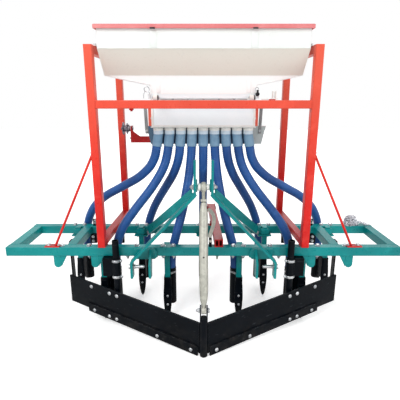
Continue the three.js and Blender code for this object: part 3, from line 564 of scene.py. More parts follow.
STEEL = bare_steel("zinc_bolts", colour(214, 216, 218), colour(168, 171, 175))
CHAIN = bare_steel("bright_chain", colour(238, 238, 242), colour(196, 194, 202), gloss=0.3, metallic=0.75)
STRAP_GREY = bare_steel("strap_grey", colour(158, 160, 160), colour(132, 135, 136), gloss=0.5, metallic=0.2)
GREY_STEEL = bare_steel("grey_steel", colour(150, 148, 156), colour(112, 110, 120), gloss=0.42)
DARK_STEEL = bare_steel("dark_steel", colour(70, 68, 70), colour(40, 40, 44), gloss=0.45, metallic=0.8)
ZINC = galvanised_steel("galvanised_pipe")
HOSE = hose_plastic("blue_hose", colour(36, 90, 160), colour(26, 70, 132), colour(70, 124, 186))
CUFF_BLUE = hose_plastic("pale_blue_cuff", colour(128, 164, 190), colour(104, 142, 172),
                         colour(164, 194, 212), 0.42)
CUFF_PALE = hose_plastic("milky_cuff", colour(214, 228, 238), colour(198, 216, 230),
                         colour(236, 242, 246), 0.40)


# The record's slots with the finishes that stand for each, the plain one first.
FINISHES = {
    "teal_paint": [TEAL],
    "red_paint": [RED, LID_RED, DARK_RED],
    "white_paint": [WHITE, HOPPER, METER, CUFF_PALE],
    "black_paint": [BLACK],
    "bright_steel": [STEEL, CHAIN, STRAP_GREY, GREY_STEEL, DARK_STEEL],
    "galvanised": [ZINC],
    "hose_blue": [HOSE, CUFF_BLUE],
}


# ---------------------------------------------------------------- seed hoses
# Points down the middle of the centre hose and the four left of it, metres, drawn as above.
HOSE_POINTS = [
    [
        (0.000, 0.216, 0.923), (0.000, 0.223, 0.878), (0.000, 0.237, 0.834), (0.000, 0.258, 0.792),
        (0.000, 0.282, 0.752), (0.000, 0.308, 0.714), (0.000, 0.335, 0.676), (0.000, 0.361, 0.638),
        (0.000, 0.386, 0.599), (0.000, 0.408, 0.558), (0.000, 0.425, 0.515), (0.000, 0.436, 0.470),
        (0.000, 0.442, 0.424), (0.000, 0.444, 0.378), (0.000, 0.445, 0.332),
    ],
    [
        (-0.067, 0.215, 0.926), (-0.071, 0.212, 0.882), (-0.076, 0.206, 0.838), (-0.082, 0.199, 0.795),
        (-0.089, 0.189, 0.753), (-0.097, 0.179, 0.710), (-0.105, 0.168, 0.668), (-0.114, 0.158, 0.627),
        (-0.124, 0.148, 0.585), (-0.135, 0.139, 0.543), (-0.147, 0.131, 0.501), (-0.158, 0.125, 0.459),
        (-0.169, 0.120, 0.417), (-0.178, 0.117, 0.373), (-0.182, 0.116, 0.329),
    ],
    [
        (-0.135, 0.216, 0.920), (-0.146, 0.224, 0.873), (-0.162, 0.240, 0.829), (-0.181, 0.260, 0.788),
        (-0.202, 0.284, 0.751), (-0.223, 0.310, 0.715), (-0.244, 0.337, 0.679), (-0.265, 0.363, 0.643),
        (-0.286, 0.387, 0.605), (-0.306, 0.408, 0.566), (-0.324, 0.425, 0.524), (-0.341, 0.436, 0.479),
        (-0.354, 0.442, 0.432), (-0.363, 0.445, 0.384), (-0.367, 0.445, 0.335),
    ],
    [
        (-0.202, 0.214, 0.922), (-0.214, 0.210, 0.875), (-0.233, 0.203, 0.831), (-0.257, 0.193, 0.789),
        (-0.283, 0.182, 0.750), (-0.311, 0.171, 0.712), (-0.341, 0.160, 0.675), (-0.371, 0.149, 0.638),
        (-0.400, 0.140, 0.600), (-0.428, 0.132, 0.562), (-0.454, 0.126, 0.521), (-0.474, 0.121, 0.477),
        (-0.488, 0.118, 0.430), (-0.497, 0.117, 0.382), (-0.500, 0.116, 0.334),
    ],
    [
        (-0.271, 0.216, 0.912), (-0.297, 0.222, 0.860), (-0.336, 0.233, 0.817), (-0.380, 0.249, 0.781),
        (-0.428, 0.268, 0.751), (-0.476, 0.289, 0.723), (-0.523, 0.311, 0.695), (-0.570, 0.335, 0.667),
        (-0.613, 0.358, 0.636), (-0.654, 0.382, 0.601), (-0.691, 0.404, 0.560), (-0.720, 0.422, 0.513),
        (-0.742, 0.435, 0.461), (-0.755, 0.442, 0.404), (-0.760, 0.445, 0.345),
    ],
]
HOSE_RADIUS = 25.5
TYNES = 9
CENTRE_TYNE = 5
OUTLET_Y = 215
OUTLET_PITCH = 62
CUFF_TOP = 1035
CUFF_FOOT = 970
CUFF_SPLAY = 0.045
# How far a seed tube stands behind its shank and to the side of it; wider under the stand's posts.
REAR_TUBE_BEHIND, FRONT_TUBE_BEHIND = 89, 31
WIDE_TUBE_ASIDE, TUBE_ASIDE = 62, 20
POST_MIDDLE, POST_CLEARANCE = 548, 66
GAP = 0.3
HOSE_LEAD = 20


def outlet_x(number):
    """A hose's outlet under the metering box; number 5 is the middle one."""
    return (number - CENTRE_TYNE) * OUTLET_PITCH


def cuff_point(number, z):
    """The middle of a cuff; the cuffs lean outwards, more towards the ends."""
    lean = CUFF_SPLAY * (CUFF_TOP - z) / (CUFF_TOP - CUFF_FOOT)
    return Vector((outlet_x(number) * (1 + lean), OUTLET_Y, z))


def boot_tube(number):
    """The middle and top of a boot's seed tube, from the CAD's boot."""
    top = node_box(f"tyne_boot_{number}")[1].z
    shank_low, shank_high = node_box(f"tyne_shank_{number}")
    behind = REAR_TUBE_BEHIND if number % 2 else FRONT_TUBE_BEHIND
    x = (shank_low.x + shank_high.x) / 2
    near_post = abs(abs(x) - POST_MIDDLE) < POST_CLEARANCE
    aside = WIDE_TUBE_ASIDE if near_post else TUBE_ASIDE
    side = (x < -1) - (x > 1)
    return Vector((x + side * aside, shank_high.y + behind, top))


def catmull_rom(points, step):
    """A centripetal curve through the points, as evenly spaced points about a step apart."""
    ends = [points[0] * 2 - points[1], *points, points[-1] * 2 - points[-2]]
    line = []
    for p0, p1, p2, p3 in zip(ends, ends[1:], ends[2:], ends[3:]):
        d0, d1, d2 = (math.sqrt((b - a).length) for a, b in ((p0, p1), (p1, p2), (p2, p3)))
        t1 = ((p1 - p0) / d0 - (p2 - p0) / (d0 + d1) + (p2 - p1) / d1) * d1
        t2 = ((p2 - p1) / d1 - (p3 - p1) / (d1 + d2) + (p3 - p2) / d2) * d1
        count = max(2, round((p2 - p1).length / 2))
        for k in range(count):
            t = k / count
            line.append(p1 * (2 * t ** 3 - 3 * t * t + 1) + t1 * (t ** 3 - 2 * t * t + t)
                        + p2 * (3 * t * t - 2 * t ** 3) + t2 * (t ** 3 - t * t))
    line.append(points[-1])
    return evened(line, step)


def evened(line, step):
    """The same line as points about a step apart."""
    lengths = [0.0]
    for a, b in zip(line, line[1:]):
        lengths.append(lengths[-1] + (b - a).length)
    count = max(2, round(lengths[-1] / step))
    out, i = [], 0
    for k in range(count + 1):
        want = lengths[-1] * k / count
        while i < len(line) - 2 and lengths[i + 1] < want:
            i += 1
        share = (want - lengths[i]) / max(1e-9, lengths[i + 1] - lengths[i])
        out.append(line[i].lerp(line[i + 1], min(1, max(0, share))))
    return out


def hose_route(number):
    """A hose's points from its cuff to its boot; the right-hand hoses mirror the left."""
    place = number - CENTRE_TYNE
    mirror = -1 if place > 0 else 1
    tube = boot_tube(number)
    foot = tube.z + GAP
    middle = [Vector((mirror * x, y, z)) * 1000 for x, y, z in HOSE_POINTS[abs(place)]]
    return [cuff_point(number, CUFF_FOOT - GAP), cuff_point(number, CUFF_FOOT - HOSE_LEAD), *middle,
            Vector((tube.x, tube.y, foot + HOSE_LEAD)), Vector((tube.x, tube.y, foot))]


RIB_PITCH = 11
RIB_STEPS = 6
RIB_HEIGHT = 0.55
HOSE_SIDES = 28


def add_hose(number):
    """A ribbed hose: the wall follows a shallow helix along the route."""
    line = catmull_rom(hose_route(number), RIB_PITCH / RIB_STEPS)
    verts = []
    side = None
    for i, point in enumerate(line):
        along = (line[min(i + 1, len(line) - 1)] - line[max(i - 1, 0)]).normalized()
        side = (along.cross(Y) if side is None else side - along * side.dot(along)).normalized()
        other = along.cross(side)
        for k in range(HOSE_SIDES):
            a = 2 * math.pi * k / HOSE_SIDES
            wave = math.cos(2 * math.pi * i / RIB_STEPS - a)
            radius = HOSE_RADIUS - RIB_HEIGHT + RIB_HEIGHT * wave
            verts.append(point + side * (radius * math.cos(a)) + other * (radius * math.sin(a)))
    maker = Maker()
    maker.shell(verts, ring_faces(len(line), HOSE_SIDES))
    hose = maker.piece(f"hose_{number}", HOSE, sharp=60, stands_for=f"seed_hose_{number}")
    path = [row(p) for p in evened(line, 8)]


# ---------------------------------------------------------------- outlets and cuffs
def add_outlets():
    """Nine white bells under the metering box, each with its milky collar and pale blue cuff."""
    white, milky, blue = Maker(), Maker(), Maker()
    low, high = node_box("outlet_manifold")
    slab(white, (low.x, 188, high.z - 6), (high.x, 242, high.z), 1.2)
    for number in range(1, TYNES + 1):
        x = outlet_x(number)
        top = Vector((x, OUTLET_Y, high.z - 4))
        down = cuff_point(number, 1040) - top
        lathe(white, [(23, 0), (25.5, 2), (27.6, 5), (28.4, 9), (28.4, 14), (27.2, 18), (25, 20)],
              aim(top, down), 32)
        lathe(milky, [(24, 14), (27.0, 17), (27.4, 19), (27.6, 34), (27.0, 37), (25, 38)], aim(top, down), 32)
        start, foot = cuff_point(number, 1040), cuff_point(number, CUFF_FOOT)
        long = (foot - start).length
        rings = [(24.5, 0), (26.2, 1.2), (26.6, 4), (26.6, 12), (26.1, 13.2), (26.1, 15), (26.7, 16.2),
                 (27.2, 40), (27.2, long - 9), (28.0, long - 7.5), (28.0, long - 1.5), (27.2, long),
                 (25.8, long)]
        lathe(blue, rings, aim(start, foot - start), 32)
    white.piece("outlet_bells", WHITE, stands_for="outlet_manifold")
    milky.piece("outlet_collars", CUFF_PALE)
    blue.piece("outlet_cuffs", CUFF_BLUE)


# ---------------------------------------------------------------- CAD nodes that show
def paint_nodes():
    """Gives each CAD node its slot's plain finish, but for the four that have their own."""
    wanted = {"metering_box": METER, "hopper_tank": HOPPER, "drive_bracket": DARK_RED, "centre_arm": DARK_RED}
    slots = {part["node"]: part["material_slot"] for part in frame["record"]["subparts"]}
    for name, obj in frame["nodes"].items():
        obj.data.materials.clear()
        obj.data.materials.append(wanted.get(name, FINISHES[slots[name]][0]))


# ---------------------------------------------------------------- floor, backdrop and light
AMBIENT = 0.45
FLOOR_REACH = 14


def add_stage():
    """A pale floor that glows to the camera only, in a world that looks white and lights dimly."""
    floor = bpy.data.meshes.new("floor")
    reach = FLOOR_REACH
    floor.from_pydata([(-reach, -reach, 0), (reach, -reach, 0), (reach, reach, 0), (-reach, reach, 0)],
                      [], [(0, 1, 2, 3)])
    obj = bpy.data.objects.new("floor", floor)
    bpy.context.scene.collection.objects.link(obj)
    s = Shade("pale_floor")
    tone = s.mix(s.span(s.noise(1.3, 4), 0.3, 0.7), colour(246, 246, 245), colour(250, 250, 250))
    seen = s.node("ShaderNodeLightPath").outputs["Is Camera Ray"]
    s.shader.inputs["Emission Color"].default_value = (1, 1, 1, 1)
    away = s.node("ShaderNodeVectorMath", operation="LENGTH")
    s.link(s.place, away.inputs[0])
    glow = s.span(away.outputs["Value"], 1.6, 5.0, 0.42, 0.9)
    s.link(s.times(seen, glow), s.shader.inputs["Emission Strength"])
    floor.materials.append(s.finish(tone, 0.9))

    world = bpy.data.worlds.new("studio")
    bpy.context.scene.world = world
    world.use_nodes = True
    tree = world.node_tree
    back = tree.nodes["Background"]
    back.inputs["Color"].default_value = (1, 1, 1, 1)
    path = tree.nodes.new("ShaderNodeLightPath")
    seen = None
    for name in ("Is Camera Ray", "Is Glossy Ray", "Is Transmission Ray"):
        if seen is None:
            seen = path.outputs[name]
            continue
        most = tree.nodes.new("ShaderNodeMath")
        most.operation = "MAXIMUM"
        tree.links.new(seen, most.inputs[0])
        tree.links.new(path.outputs[name], most.inputs[1])
        seen = most.outputs["Value"]
    span = tree.nodes.new("ShaderNodeMapRange")
    tree.links.new(seen, span.inputs["Value"])
    span.inputs["To Min"].default_value = AMBIENT
    tree.links.new(span.outputs["Result"], back.inputs["Strength"])


def add_lamp(name, at, toward, size, power):
    """A rectangular area lamp at a place in metres, turned to face a point."""
    data = bpy.data.lights.new(name, "AREA")
    data.shape, data.size, data.size_y, data.energy = "RECTANGLE", size[0], size[1], power
    lamp = bpy.data.objects.new(name, data)
    bpy.context.scene.collection.objects.link(lamp)
    lamp.location = at
    lamp.rotation_euler = (Vector(toward) - Vector(at)).to_track_quat("-Z", "Y").to_euler()


def add_lamps():
    add_lamp("key", (-2.6, -3.4, 4.2), (0, 0, 0.7), (2.6, 2.6), 150)
    add_lamp("fill", (3.2, -2.8, 2.4), (0, 0, 0.6), (2.4, 2.4), 60)
    add_lamp("rim", (0.6, 3.6, 3.6), (0, 0, 0.8), (3.0, 2.0), 80)


# ---------------------------------------------------------------- toolbar frame details
BEAM_LOW, BEAM_HIGH = node_box("rear_beam")
BEAM_TOP, BEAM_BOTTOM = BEAM_HIGH.z, BEAM_LOW.z
FRAME_HALF = BEAM_HIGH.x
BEAM = BEAM_HIGH.z - BEAM_LOW.z
BEAM_MIDDLE_Y = BEAM / 2
BEAM_LUGS = (590, 794)
LUG_HALF = 18
BOLT = 13


def add_frame_welds():
    """Beads where the cross tubes meet the beams and round the lugs, with a gusset beside each lug."""
    beads, gussets = Maker(), Maker()
    for stem in ("end_beam_left", "end_beam_right", "cross_beam_left", "cross_beam_right"):
        low, high = node_box(stem)
        outside = 1 if low.x > 0 else -1
        at_end = "end" in stem
        for y in (BEAM, BEAM_LOW.y):
            inset = 0.4 if y == BEAM else -0.4
            z0, z1 = BEAM_BOTTOM + 4, BEAM_TOP - 4
            inner_x = low.x if outside > 0 else high.x
            weld(beads, [(inner_x, y + inset, z0), (inner_x, y + inset, z1)], 2.6, seed=1)
            if not at_end:
                outer_x = high.x if outside > 0 else low.x
                weld(beads, [(outer_x, y + inset, z0), (outer_x, y + inset, z1)], 2.6, seed=2)
            for z in (BEAM_TOP - 0.8, BEAM_BOTTOM + 0.8):
                weld(beads, [(low.x + 5, y, z), (high.x - 5, y, z)], 2.2, seed=3)
    for x in BEAM_LUGS:
        for side in (-1, 1):
            for dx in (-4.5, 4.5):
                foot = side * x + dx
                weld(beads, [(foot, 13, BEAM_BOTTOM - 1), (foot, 44, BEAM_BOTTOM - 1)], 2.4, seed=4)
            z = BEAM_BOTTOM - 0.8
            weld(beads, [(side * x - LUG_HALF, 3.5, z), (side * x + LUG_HALF, 3.5, z)], 2.2, seed=5)
        foot, plate_top = BEAM_BOTTOM - 64, BEAM_BOTTOM - 0.4
        for side in (-1, 1):
            inner = x - LUG_HALF
            outline = [(side * inner, foot), (side * inner, plate_top), (side * (inner - 34), plate_top)]
            bevelled(gussets, outline, 6, facing_front(11), 1)
            z = plate_top - 1
            weld(beads, [(side * (inner - 2), 4.8, z), (side * (inner - 30), 4.8, z)], 1.8, seed=9)
    gussets.piece("lug_gussets", TEAL)
    beads.piece("frame_welds", TEAL, sharp=60)


def add_beam_end_welds():
    """A bead round each end of the two long beams, where the closing plate is welded on."""
    beads = Maker()
    inset = 0.8
    for y0, y1 in ((0, BEAM), (BEAM_LOW.y, BEAM_HIGH.y)):
        for side in (-1, 1):
            x = side * (FRAME_HALF - 5)
            ring = [(x, y0 + 5, BEAM_TOP - inset), (x, y1 - 5, BEAM_TOP - inset),
                    (x, y1 - inset, BEAM_TOP - 5), (x, y1 - inset, BEAM_BOTTOM + 5),
                    (x, y1 - 5, BEAM_BOTTOM + inset), (x, y0 + 5, BEAM_BOTTOM + inset),
                    (x, y0 + inset, BEAM_BOTTOM + 5), (x, y0 + inset, BEAM_TOP - 5)]
            weld_loop(beads, ring, 1.7, seed=6)
    beads.piece("beam_end_welds", TEAL, sharp=60)


SHANK_DEPTH = 25


def shank_box(number):
    """A shank's middle x with the y of its front and back faces."""
    low, high = node_box(f"tyne_shank_{number}")
    x = (low.x + high.x) / 2
    return x, high.y - SHANK_DEPTH, high.y


FRONT_BOLTS = {2: (-623, -534), 4: (-219, -163), 6: (163, 219), 8: (534, 623)}
HIDDEN_BOLT = 534
STAND_FOOT = (522, 574)


def beneath_stand(x):
    """Whether a bolt there is covered by the stand's foot."""
    return STAND_FOOT[0] - 8 < abs(x) < STAND_FOOT[1] + 8


def add_tyne_clamps():
    """Each shank passes a clamp plate under its beam, held by two bolts down through the beam."""
    plates, bolts = Maker(), Maker()
    for number in range(1, TYNES + 1):
        x, front, back = shank_box(number)
        rear_row = number % 2 == 1
        beam_y = (BEAM_LOW.y + BEAM_HIGH.y) / 2 if rear_row else BEAM / 2
        holes = (x - 29, x + 29) if rear_row else FRONT_BOLTS[number]
        y0 = front - 6 if rear_row else 6
        y1 = BEAM_HIGH.y - 4 if rear_row else back + 5
        x0, x1 = min(*holes, x - 20) - 12, max(*holes, x + 20) + 12
        z = BEAM_BOTTOM - 0.4
        if rear_row:
            slab(plates, (x0, y0, z - 7), (x1, y1, z), 1.4)
            slab(plates, (x - 24, front - 7, BEAM_BOTTOM + 8), (x + 24, front - 0.2, BEAM_TOP - 8), 1.6)
            for rib in (x - 19.5, x + 19.5):
                slab(plates, (rib - 3.5, front - 5, BEAM_BOTTOM + 10),
                     (rib + 3.5, BEAM_LOW.y + 1, BEAM_TOP - 10), 1.2)
        else:
            slab(plates, (x - 32, BEAM + 1, z - 7), (x + 32, y1, z), 1.4)
            slab(plates, (x - 22, back + 0.2, BEAM_BOTTOM + 10), (x + 22, back + 6, BEAM_TOP - 12), 1.6)
            for rib in (x - 18.8, x + 18.8):
                slab(plates, (rib - 3, BEAM + 1, BEAM_BOTTOM + 12), (rib + 3, back + 5, BEAM_TOP - 14), 1.2)
        for hole in holes:
            if not beneath_stand(hole):
                hex_head(bolts, (hole, beam_y, BEAM_TOP), Z, BOLT, turn=number)
            seat = z - 7 if rear_row else BEAM_BOTTOM
            if abs(hole) != HIDDEN_BOLT:
                nut_and_thread(bolts, (hole, beam_y, seat), -Z, BOLT, 0.7, turn=number * 0.7)
    for x in (-770, -362, 362, 770):
        hex_head(bolts, (x, BEAM_MIDDLE_Y, BEAM_TOP), Z, BOLT, turn=x)
        nut_and_thread(bolts, (x, BEAM_MIDDLE_Y, BEAM_BOTTOM), -Z, BOLT, 0.8, turn=x)
    for x in (-414, 414):
        nut_and_thread(bolts, (x, BEAM_MIDDLE_Y, BEAM_BOTTOM), -Z, BOLT, 0.9, turn=x)
    plates.piece("tyne_clamp_plates", TEAL)
    bolts.piece("frame_bolts", STEEL)


def add_black_clamps():
    """Black clamp blocks hang below the rear beam at the stand, each with its bolts and a lug above."""
    blocks, bolts = Maker(), Maker()
    front = BEAM_LOW.y - 13
    for x in (-692, -518, 518, 692):
        slab(blocks, (x - 21, front, BEAM_BOTTOM - 60), (x + 21, BEAM_LOW.y + 3, BEAM_BOTTOM - 0.4), 3, 3)
        slab(blocks, (x - 19, BEAM_LOW.y + 4, BEAM_BOTTOM - 14),
             (x + 19, BEAM_HIGH.y - 4, BEAM_BOTTOM - 0.4), 2.5, 3)
        for z in (BEAM_BOTTOM - 16, BEAM_BOTTOM - 44):
            hex_head(bolts, (x, front, z), -Y, 9, turn=x)
        nut_and_thread(bolts, (x, (BEAM_LOW.y + BEAM_HIGH.y) / 2 + 6, BEAM_BOTTOM - 14), -Z, 9, 0.6)
    for x in (-680, 680):
        y = BEAM_LOW.y + 10
        slab(blocks, (x - 14, y, BEAM_TOP - 4), (x + 14, y + 8, BEAM_TOP + 44), 2.5, 3)
        slab(blocks, (x - 14, y + 6, BEAM_TOP + 0.3), (x + 14, y + 34, BEAM_TOP + 6), 1.6)
        for z in (BEAM_TOP + 16, BEAM_TOP + 33):
            hex_head(bolts, (x, y, z), -Y, 7, turn=x)
        hex_head(bolts, (x, y + 21, BEAM_TOP + 6), Z, 8, turn=x)
    blocks.piece("rear_clamp_blocks", BLACK)
    bolts.piece("rear_clamp_bolts", STEEL)


# ---------------------------------------------------------------- tynes and boots
LEAF_HALF = 24
LEAF_THICK = 8
LEAF_LEAN = 20
BOOT_TOP = 245
CHEEK_FOOT = 112
CHEEK_OUT = 15.3
SHANK_FOOT = 110
# Height of a share with its half width there, as a part of the widest.
LEAF_STATIONS = [(0, 0.16), (5, 0.34), (14, 0.48), (34, 0.66), (70, 0.875), (105, 0.965), (130, 1.0),
                 (165, 0.96), (200, 0.875), (230, 0.77), (245, 0.70)]


def leaf_half(height):
    """Half width of the pointed share at a height."""
    for (z0, w0), (z1, w1) in zip(LEAF_STATIONS, LEAF_STATIONS[1:]):
        if z0 <= height <= z1:
            return LEAF_HALF * (w0 + (w1 - w0) * (height - z0) / (z1 - z0))
    return LEAF_HALF * LEAF_STATIONS[-1][1]


def boot_leaf(maker, x, front):
    """A forged share: a curved face with a raised middle and thin side edges."""
    rows, across = 26, 9
    verts, faces = [], []
    for face in (0, 1):
        for i in range(rows + 1):
            z = BOOT_TOP * i / rows
            half = leaf_half(z)
            lean = LEAF_LEAN * (1 - z / BOOT_TOP) ** 1.2
            for k in range(across):
                u = -1 + 2 * k / (across - 1)
                swell = (1 - u * u) ** 0.6
                depth = LEAF_THICK * (0.45 + 0.55 * swell) if face == 0 else 0.3
                verts.append((x + u * half, front - lean - depth, z))
    side = (rows + 1) * across
    for i in range(rows):
        for k in range(across - 1):
            a, b = i * across + k, i * across + k + 1
            c, d = a + across, b + across
            faces += [(a, b, d, c), (side + a, side + c, side + d, side + b)]
    border = list(range(across)) + [i * across + across - 1 for i in range(1, rows + 1)]
    border += [rows * across + k for k in range(across - 2, -1, -1)]
    border += [i * across for i in range(rows - 1, 0, -1)]
    for a, b in zip(border, border[1:] + border[:1]):
        faces.append((b, a, side + a, side + b))
    maker.shell(verts, faces)


def add_boots():
    """Each boot: a share in front, two cheeks, a web between them, the seed tube and its clamp."""
    bolts, bands = Maker(), Maker()
    for number in range(1, TYNES + 1):
        body = Maker()
        x, shank_front, shank_back = shank_box(number)
        front = shank_front - 0.3
        tube = boot_tube(number)
        boot_leaf(body, x, front)
        foot = CHEEK_FOOT - LEAF_HALF
        outline = [(front - 2, BOOT_TOP), (front - LEAF_LEAN / 2 - 2, CHEEK_FOOT), (tube.y - 14, foot),
                   (tube.y - 4, foot + 10), (tube.y, BOOT_TOP - 14), (tube.y - 8, BOOT_TOP)]
        for side in (-1, 1):
            at = x + side * CHEEK_OUT + (0 if side > 0 else -5)
            bevelled(body, outline, 5, across_x(at), 1.2)
        edges = (x - CHEEK_OUT, x + CHEEK_OUT, tube.x)
        web = [(min(edges), BOOT_TOP - 8), (min(edges), CHEEK_FOOT), (x - 9, 52), (x + 9, 52),
               (max(edges), CHEEK_FOOT), (max(edges), BOOT_TOP - 8)]
        bevelled(body, web, 7, facing_front(tube.y - 1), 1.4)
        rings = [(22, 62), (24.6, 62), (26.0, 66), (26.2, 90), (26.2, tube.z - 10), (26.9, tube.z - 8.5),
                 (26.9, tube.z - 1.5), (26.2, tube.z), (23, tube.z)]
        lathe(body, rings, Matrix.Translation((tube.x, tube.y, 0)), 32)
        body.piece(f"boot_{number}", BLACK, sharp=38, stands_for=f"tyne_boot_{number}")
        for z in (136, 84):
            lean = LEAF_LEAN * (1 - z / BOOT_TOP) ** 1.2
            coach_head(bolts, (x, front - lean - LEAF_THICK + 0.2, z), (0, -1, 0.08), 7.2, 4.6)
            if z > SHANK_FOOT:
                nut_and_thread(bolts, (x, shank_back, z), Y, 8, 0.5, turn=number)
        clip_z = tube.z - 26
        pipe_ring(bands, (tube.x, tube.y, clip_z - 5), (tube.x, tube.y, clip_z + 5), 26.2, 27.6)
        slab(bands, (tube.x - 5, tube.y - 38, clip_z - 6), (tube.x + 5, tube.y - 27, clip_z + 6), 1)
        round_rod(bands, (tube.x - 10, tube.y - 33, clip_z), (tube.x + 12, tube.y - 33, clip_z), 2.4, 12, 0.6)
    bolts.piece("boot_bolts", STEEL)
    bands.piece("seed_tube_clamps", STEEL)


# ---------------------------------------------------------------- blade, nose, legs
BLADE_APEX_Y = -306
BLADE_SLOPE = 0.529
BLADE_RISE = 0.08


def blade_out(side):
    """The direction out of a blade half's front face."""
    along = Vector((side, BLADE_SLOPE, 0)).normalized()
    return Vector((along.y * side, -abs(along.x), 0)).normalized()


def on_blade(side, x, height, proud=4.0):
    """A point on a blade half's front face at a distance x from the middle."""
    base = Vector((side * x, BLADE_APEX_Y + BLADE_SLOPE * x, height + BLADE_RISE * x))
    return base + blade_out(side) * proud


def add_blade_details():
    """Bolts along the cutting edge and at the legs, a bead above the edge and the rolled top edge."""
    bolts, beads = Maker(), Maker()
    for side in (-1, 1):
        out = blade_out(side)
        for x, height in ((59, 21), (235, 20), (469, 20), (514, 20), (609, 20)):
            coach_head(bolts, on_blade(side, x, height, 11), out, 10, 5.5)
            nut_and_thread(bolts, on_blade(side, x, height + 6, -4), -out, 10, 0.5, turn=x)
        for x in (466, 511, 625):
            coach_head(bolts, on_blade(side, x, 157, 4), out, 11, 5)
            hex_head(bolts, on_blade(side, x, 157, -4), -out, 12)
        start = [on_blade(side, x, 50.4, 10.2) for x in (30, 240, 450, 660)]
        weld(beads, start, 1.2, seed=7)
        rail = [on_blade(side, x, 174, -5.5) for x in (24, 260, 500, 770)]
        sweep(beads, rail, 5.0, sides=12)
    bolts.piece("blade_bolts", STEEL)
    beads.piece("blade_beads", BLACK, sharp=60)


PIPE_WALL = 4


def add_legs():
    """The two hollow leg pipes behind the blade, each in its two clamps."""
    rings = Maker()
    for side, word in ((-1, "left"), (1, "right")):
        low, high = node_box(f"blade_leg_{word}")
        x, y, r = (low.x + high.x) / 2, (low.y + high.y) / 2, (high.x - low.x) / 2
        pipe = Maker()
        bore = r - PIPE_WALL
        wall = [(bore, low.z), (r - 1, low.z), (r, low.z + 1), (r, high.z - 1.2), (r - 1.2, high.z),
                (bore, high.z), (bore, high.z - 30), (bore, low.z + 5)]
        lathe(pipe, wall, Matrix.Translation((x, y, 0)), 32, closed=True)
        pipe.piece(f"leg_pipe_{word}", BLACK, stands_for=f"blade_leg_{word}")
        holder_low, holder_high = node_box(f"leg_holder_{word}")
        for z in (holder_high.z - 14, holder_low.z - 2):
            pipe_ring(rings, (x, y, z - 7), (x, y, z + 7), r + 0.4, r + 7.2, chamfer=2.2)
            out = Vector((-side, -0.25, 0)).normalized()
            ear = Vector((x, y, z)) + out * (r + 4)
            hex_head(rings, ear + out * 3, out, 9, turn=side)
        nut_and_thread(rings, (side * 516, 8, holder_high.z - 18), -Z, BOLT, 0.7)
    rings.piece("leg_clamps", STEEL)


NOSE_PIN_Z = 250
LINK_Y = -50
TOP_LINK_Z = 795
LOWER_LINK_Z = 362


def add_nose():
    """The post in the blade's corner with the clevis that takes the strut's foot."""
    body, pin = Maker(), Maker()
    low, high = node_box("nose_post")
    y = (low.y + high.y) / 2
    r = 19
    lathe(body, [(r - 3, 0), (r, 3), (r, 212), (r - 3, 215)], Matrix.Translation((0, y, 0)), 32)
    outline = [(-17, 190), (17, 190), (18, 262), (9, 276), (-9, 276), (-18, 262)]
    for x0 in (-19, 13):
        bevelled(body, outline, 6, across_x(x0, y), 1.4)
    body.piece("nose_clevis", BLACK, stands_for="nose_post")
    seams = Maker()
    for side in (-1, 1):
        for dy in (-2.5, 4):
            weld(seams, [(side * 21.6, y + dy, 17), (side * 21.6, y + dy, 181)], 3.6, seed=8)
    seams.piece("nose_welds", BLACK, sharp=60)
    hex_head(pin, (19, y, NOSE_PIN_Z), X, 12)
    nut_and_thread(pin, (-19, y, NOSE_PIN_Z), -X, 12, 0.6)
    for x0 in (-23, 23):
        lathe(pin, [(1.3, 0), (1.6, 1), (1.6, 24), (1.3, 25)], aim((x0, y, 238), Z), 10)
    pin.piece("nose_pin", STEEL)


def add_strut():
    """The galvanised strut: an eye end screwed into a pipe that narrows to a knuckle at its foot."""
    nose_low, nose_high = node_box("nose_post")
    top, foot = Vector((0, LINK_Y, TOP_LINK_Z)), Vector((0, (nose_low.y + nose_high.y) / 2, NOSE_PIN_Z))
    length = (foot - top).length
    place = aim(top, foot - top, up=X)
    pipe, thread = Maker(), Maker()
    eye = [(14.5, -12), (22, -12), (25.5, -9), (27, -4), (27, 4), (25.5, 9), (22, 12), (14.5, 12)]
    lathe(thread, eye, aim(top, X), 40, closed=True)
    rings = [(9, 24)]
    for k in range(22):
        rings += [(9.4, 26 + 2.6 * k), (8.3, 27.3 + 2.6 * k)]
    rings.append((8.8, 86))
    lathe(thread, rings, place, 20)
    lathe(thread, [(15, 62), (16.5, 63.5), (16.5, 74), (15, 75.5)], place, 6)
    barrel = [(12, 80), (14, 81), (16.5, 96), (20.4, 128), (21.4, 140), (21.4, length - 118),
              (20.6, length - 96)]
    lathe(pipe, barrel, place, 36)
    taper = [(20.6, length - 97), (19.968, length - 74), (17.94, length - 50), (12.9, length - 30),
             (11.4, length - 14)]
    lathe(pipe, taper, place, 36)
    lathe(pipe, [(14, -12), (17, -10.5), (17, 10.5), (14, 12)], aim(foot, X), 28)
    pipe.piece("strut_pipe", ZINC, stands_for="nose_strut")
    thread.piece("strut_eye_end", ZINC)
    # Painted shade: a dark disc on the pipe stands for the dark inside of the pin hole.
    hole = Maker()
    middle = top.lerp(foot, 0.585)
    rings = [(3.6, -22.2), (4.4, -21.6), (4.4, -19.6), (3.4, -19)]
    lathe(hole, rings, aim(middle, Vector((0, 1, -0.48))), 16)
    hole.piece("strut_pin_hole_shade", DARK_STEEL)


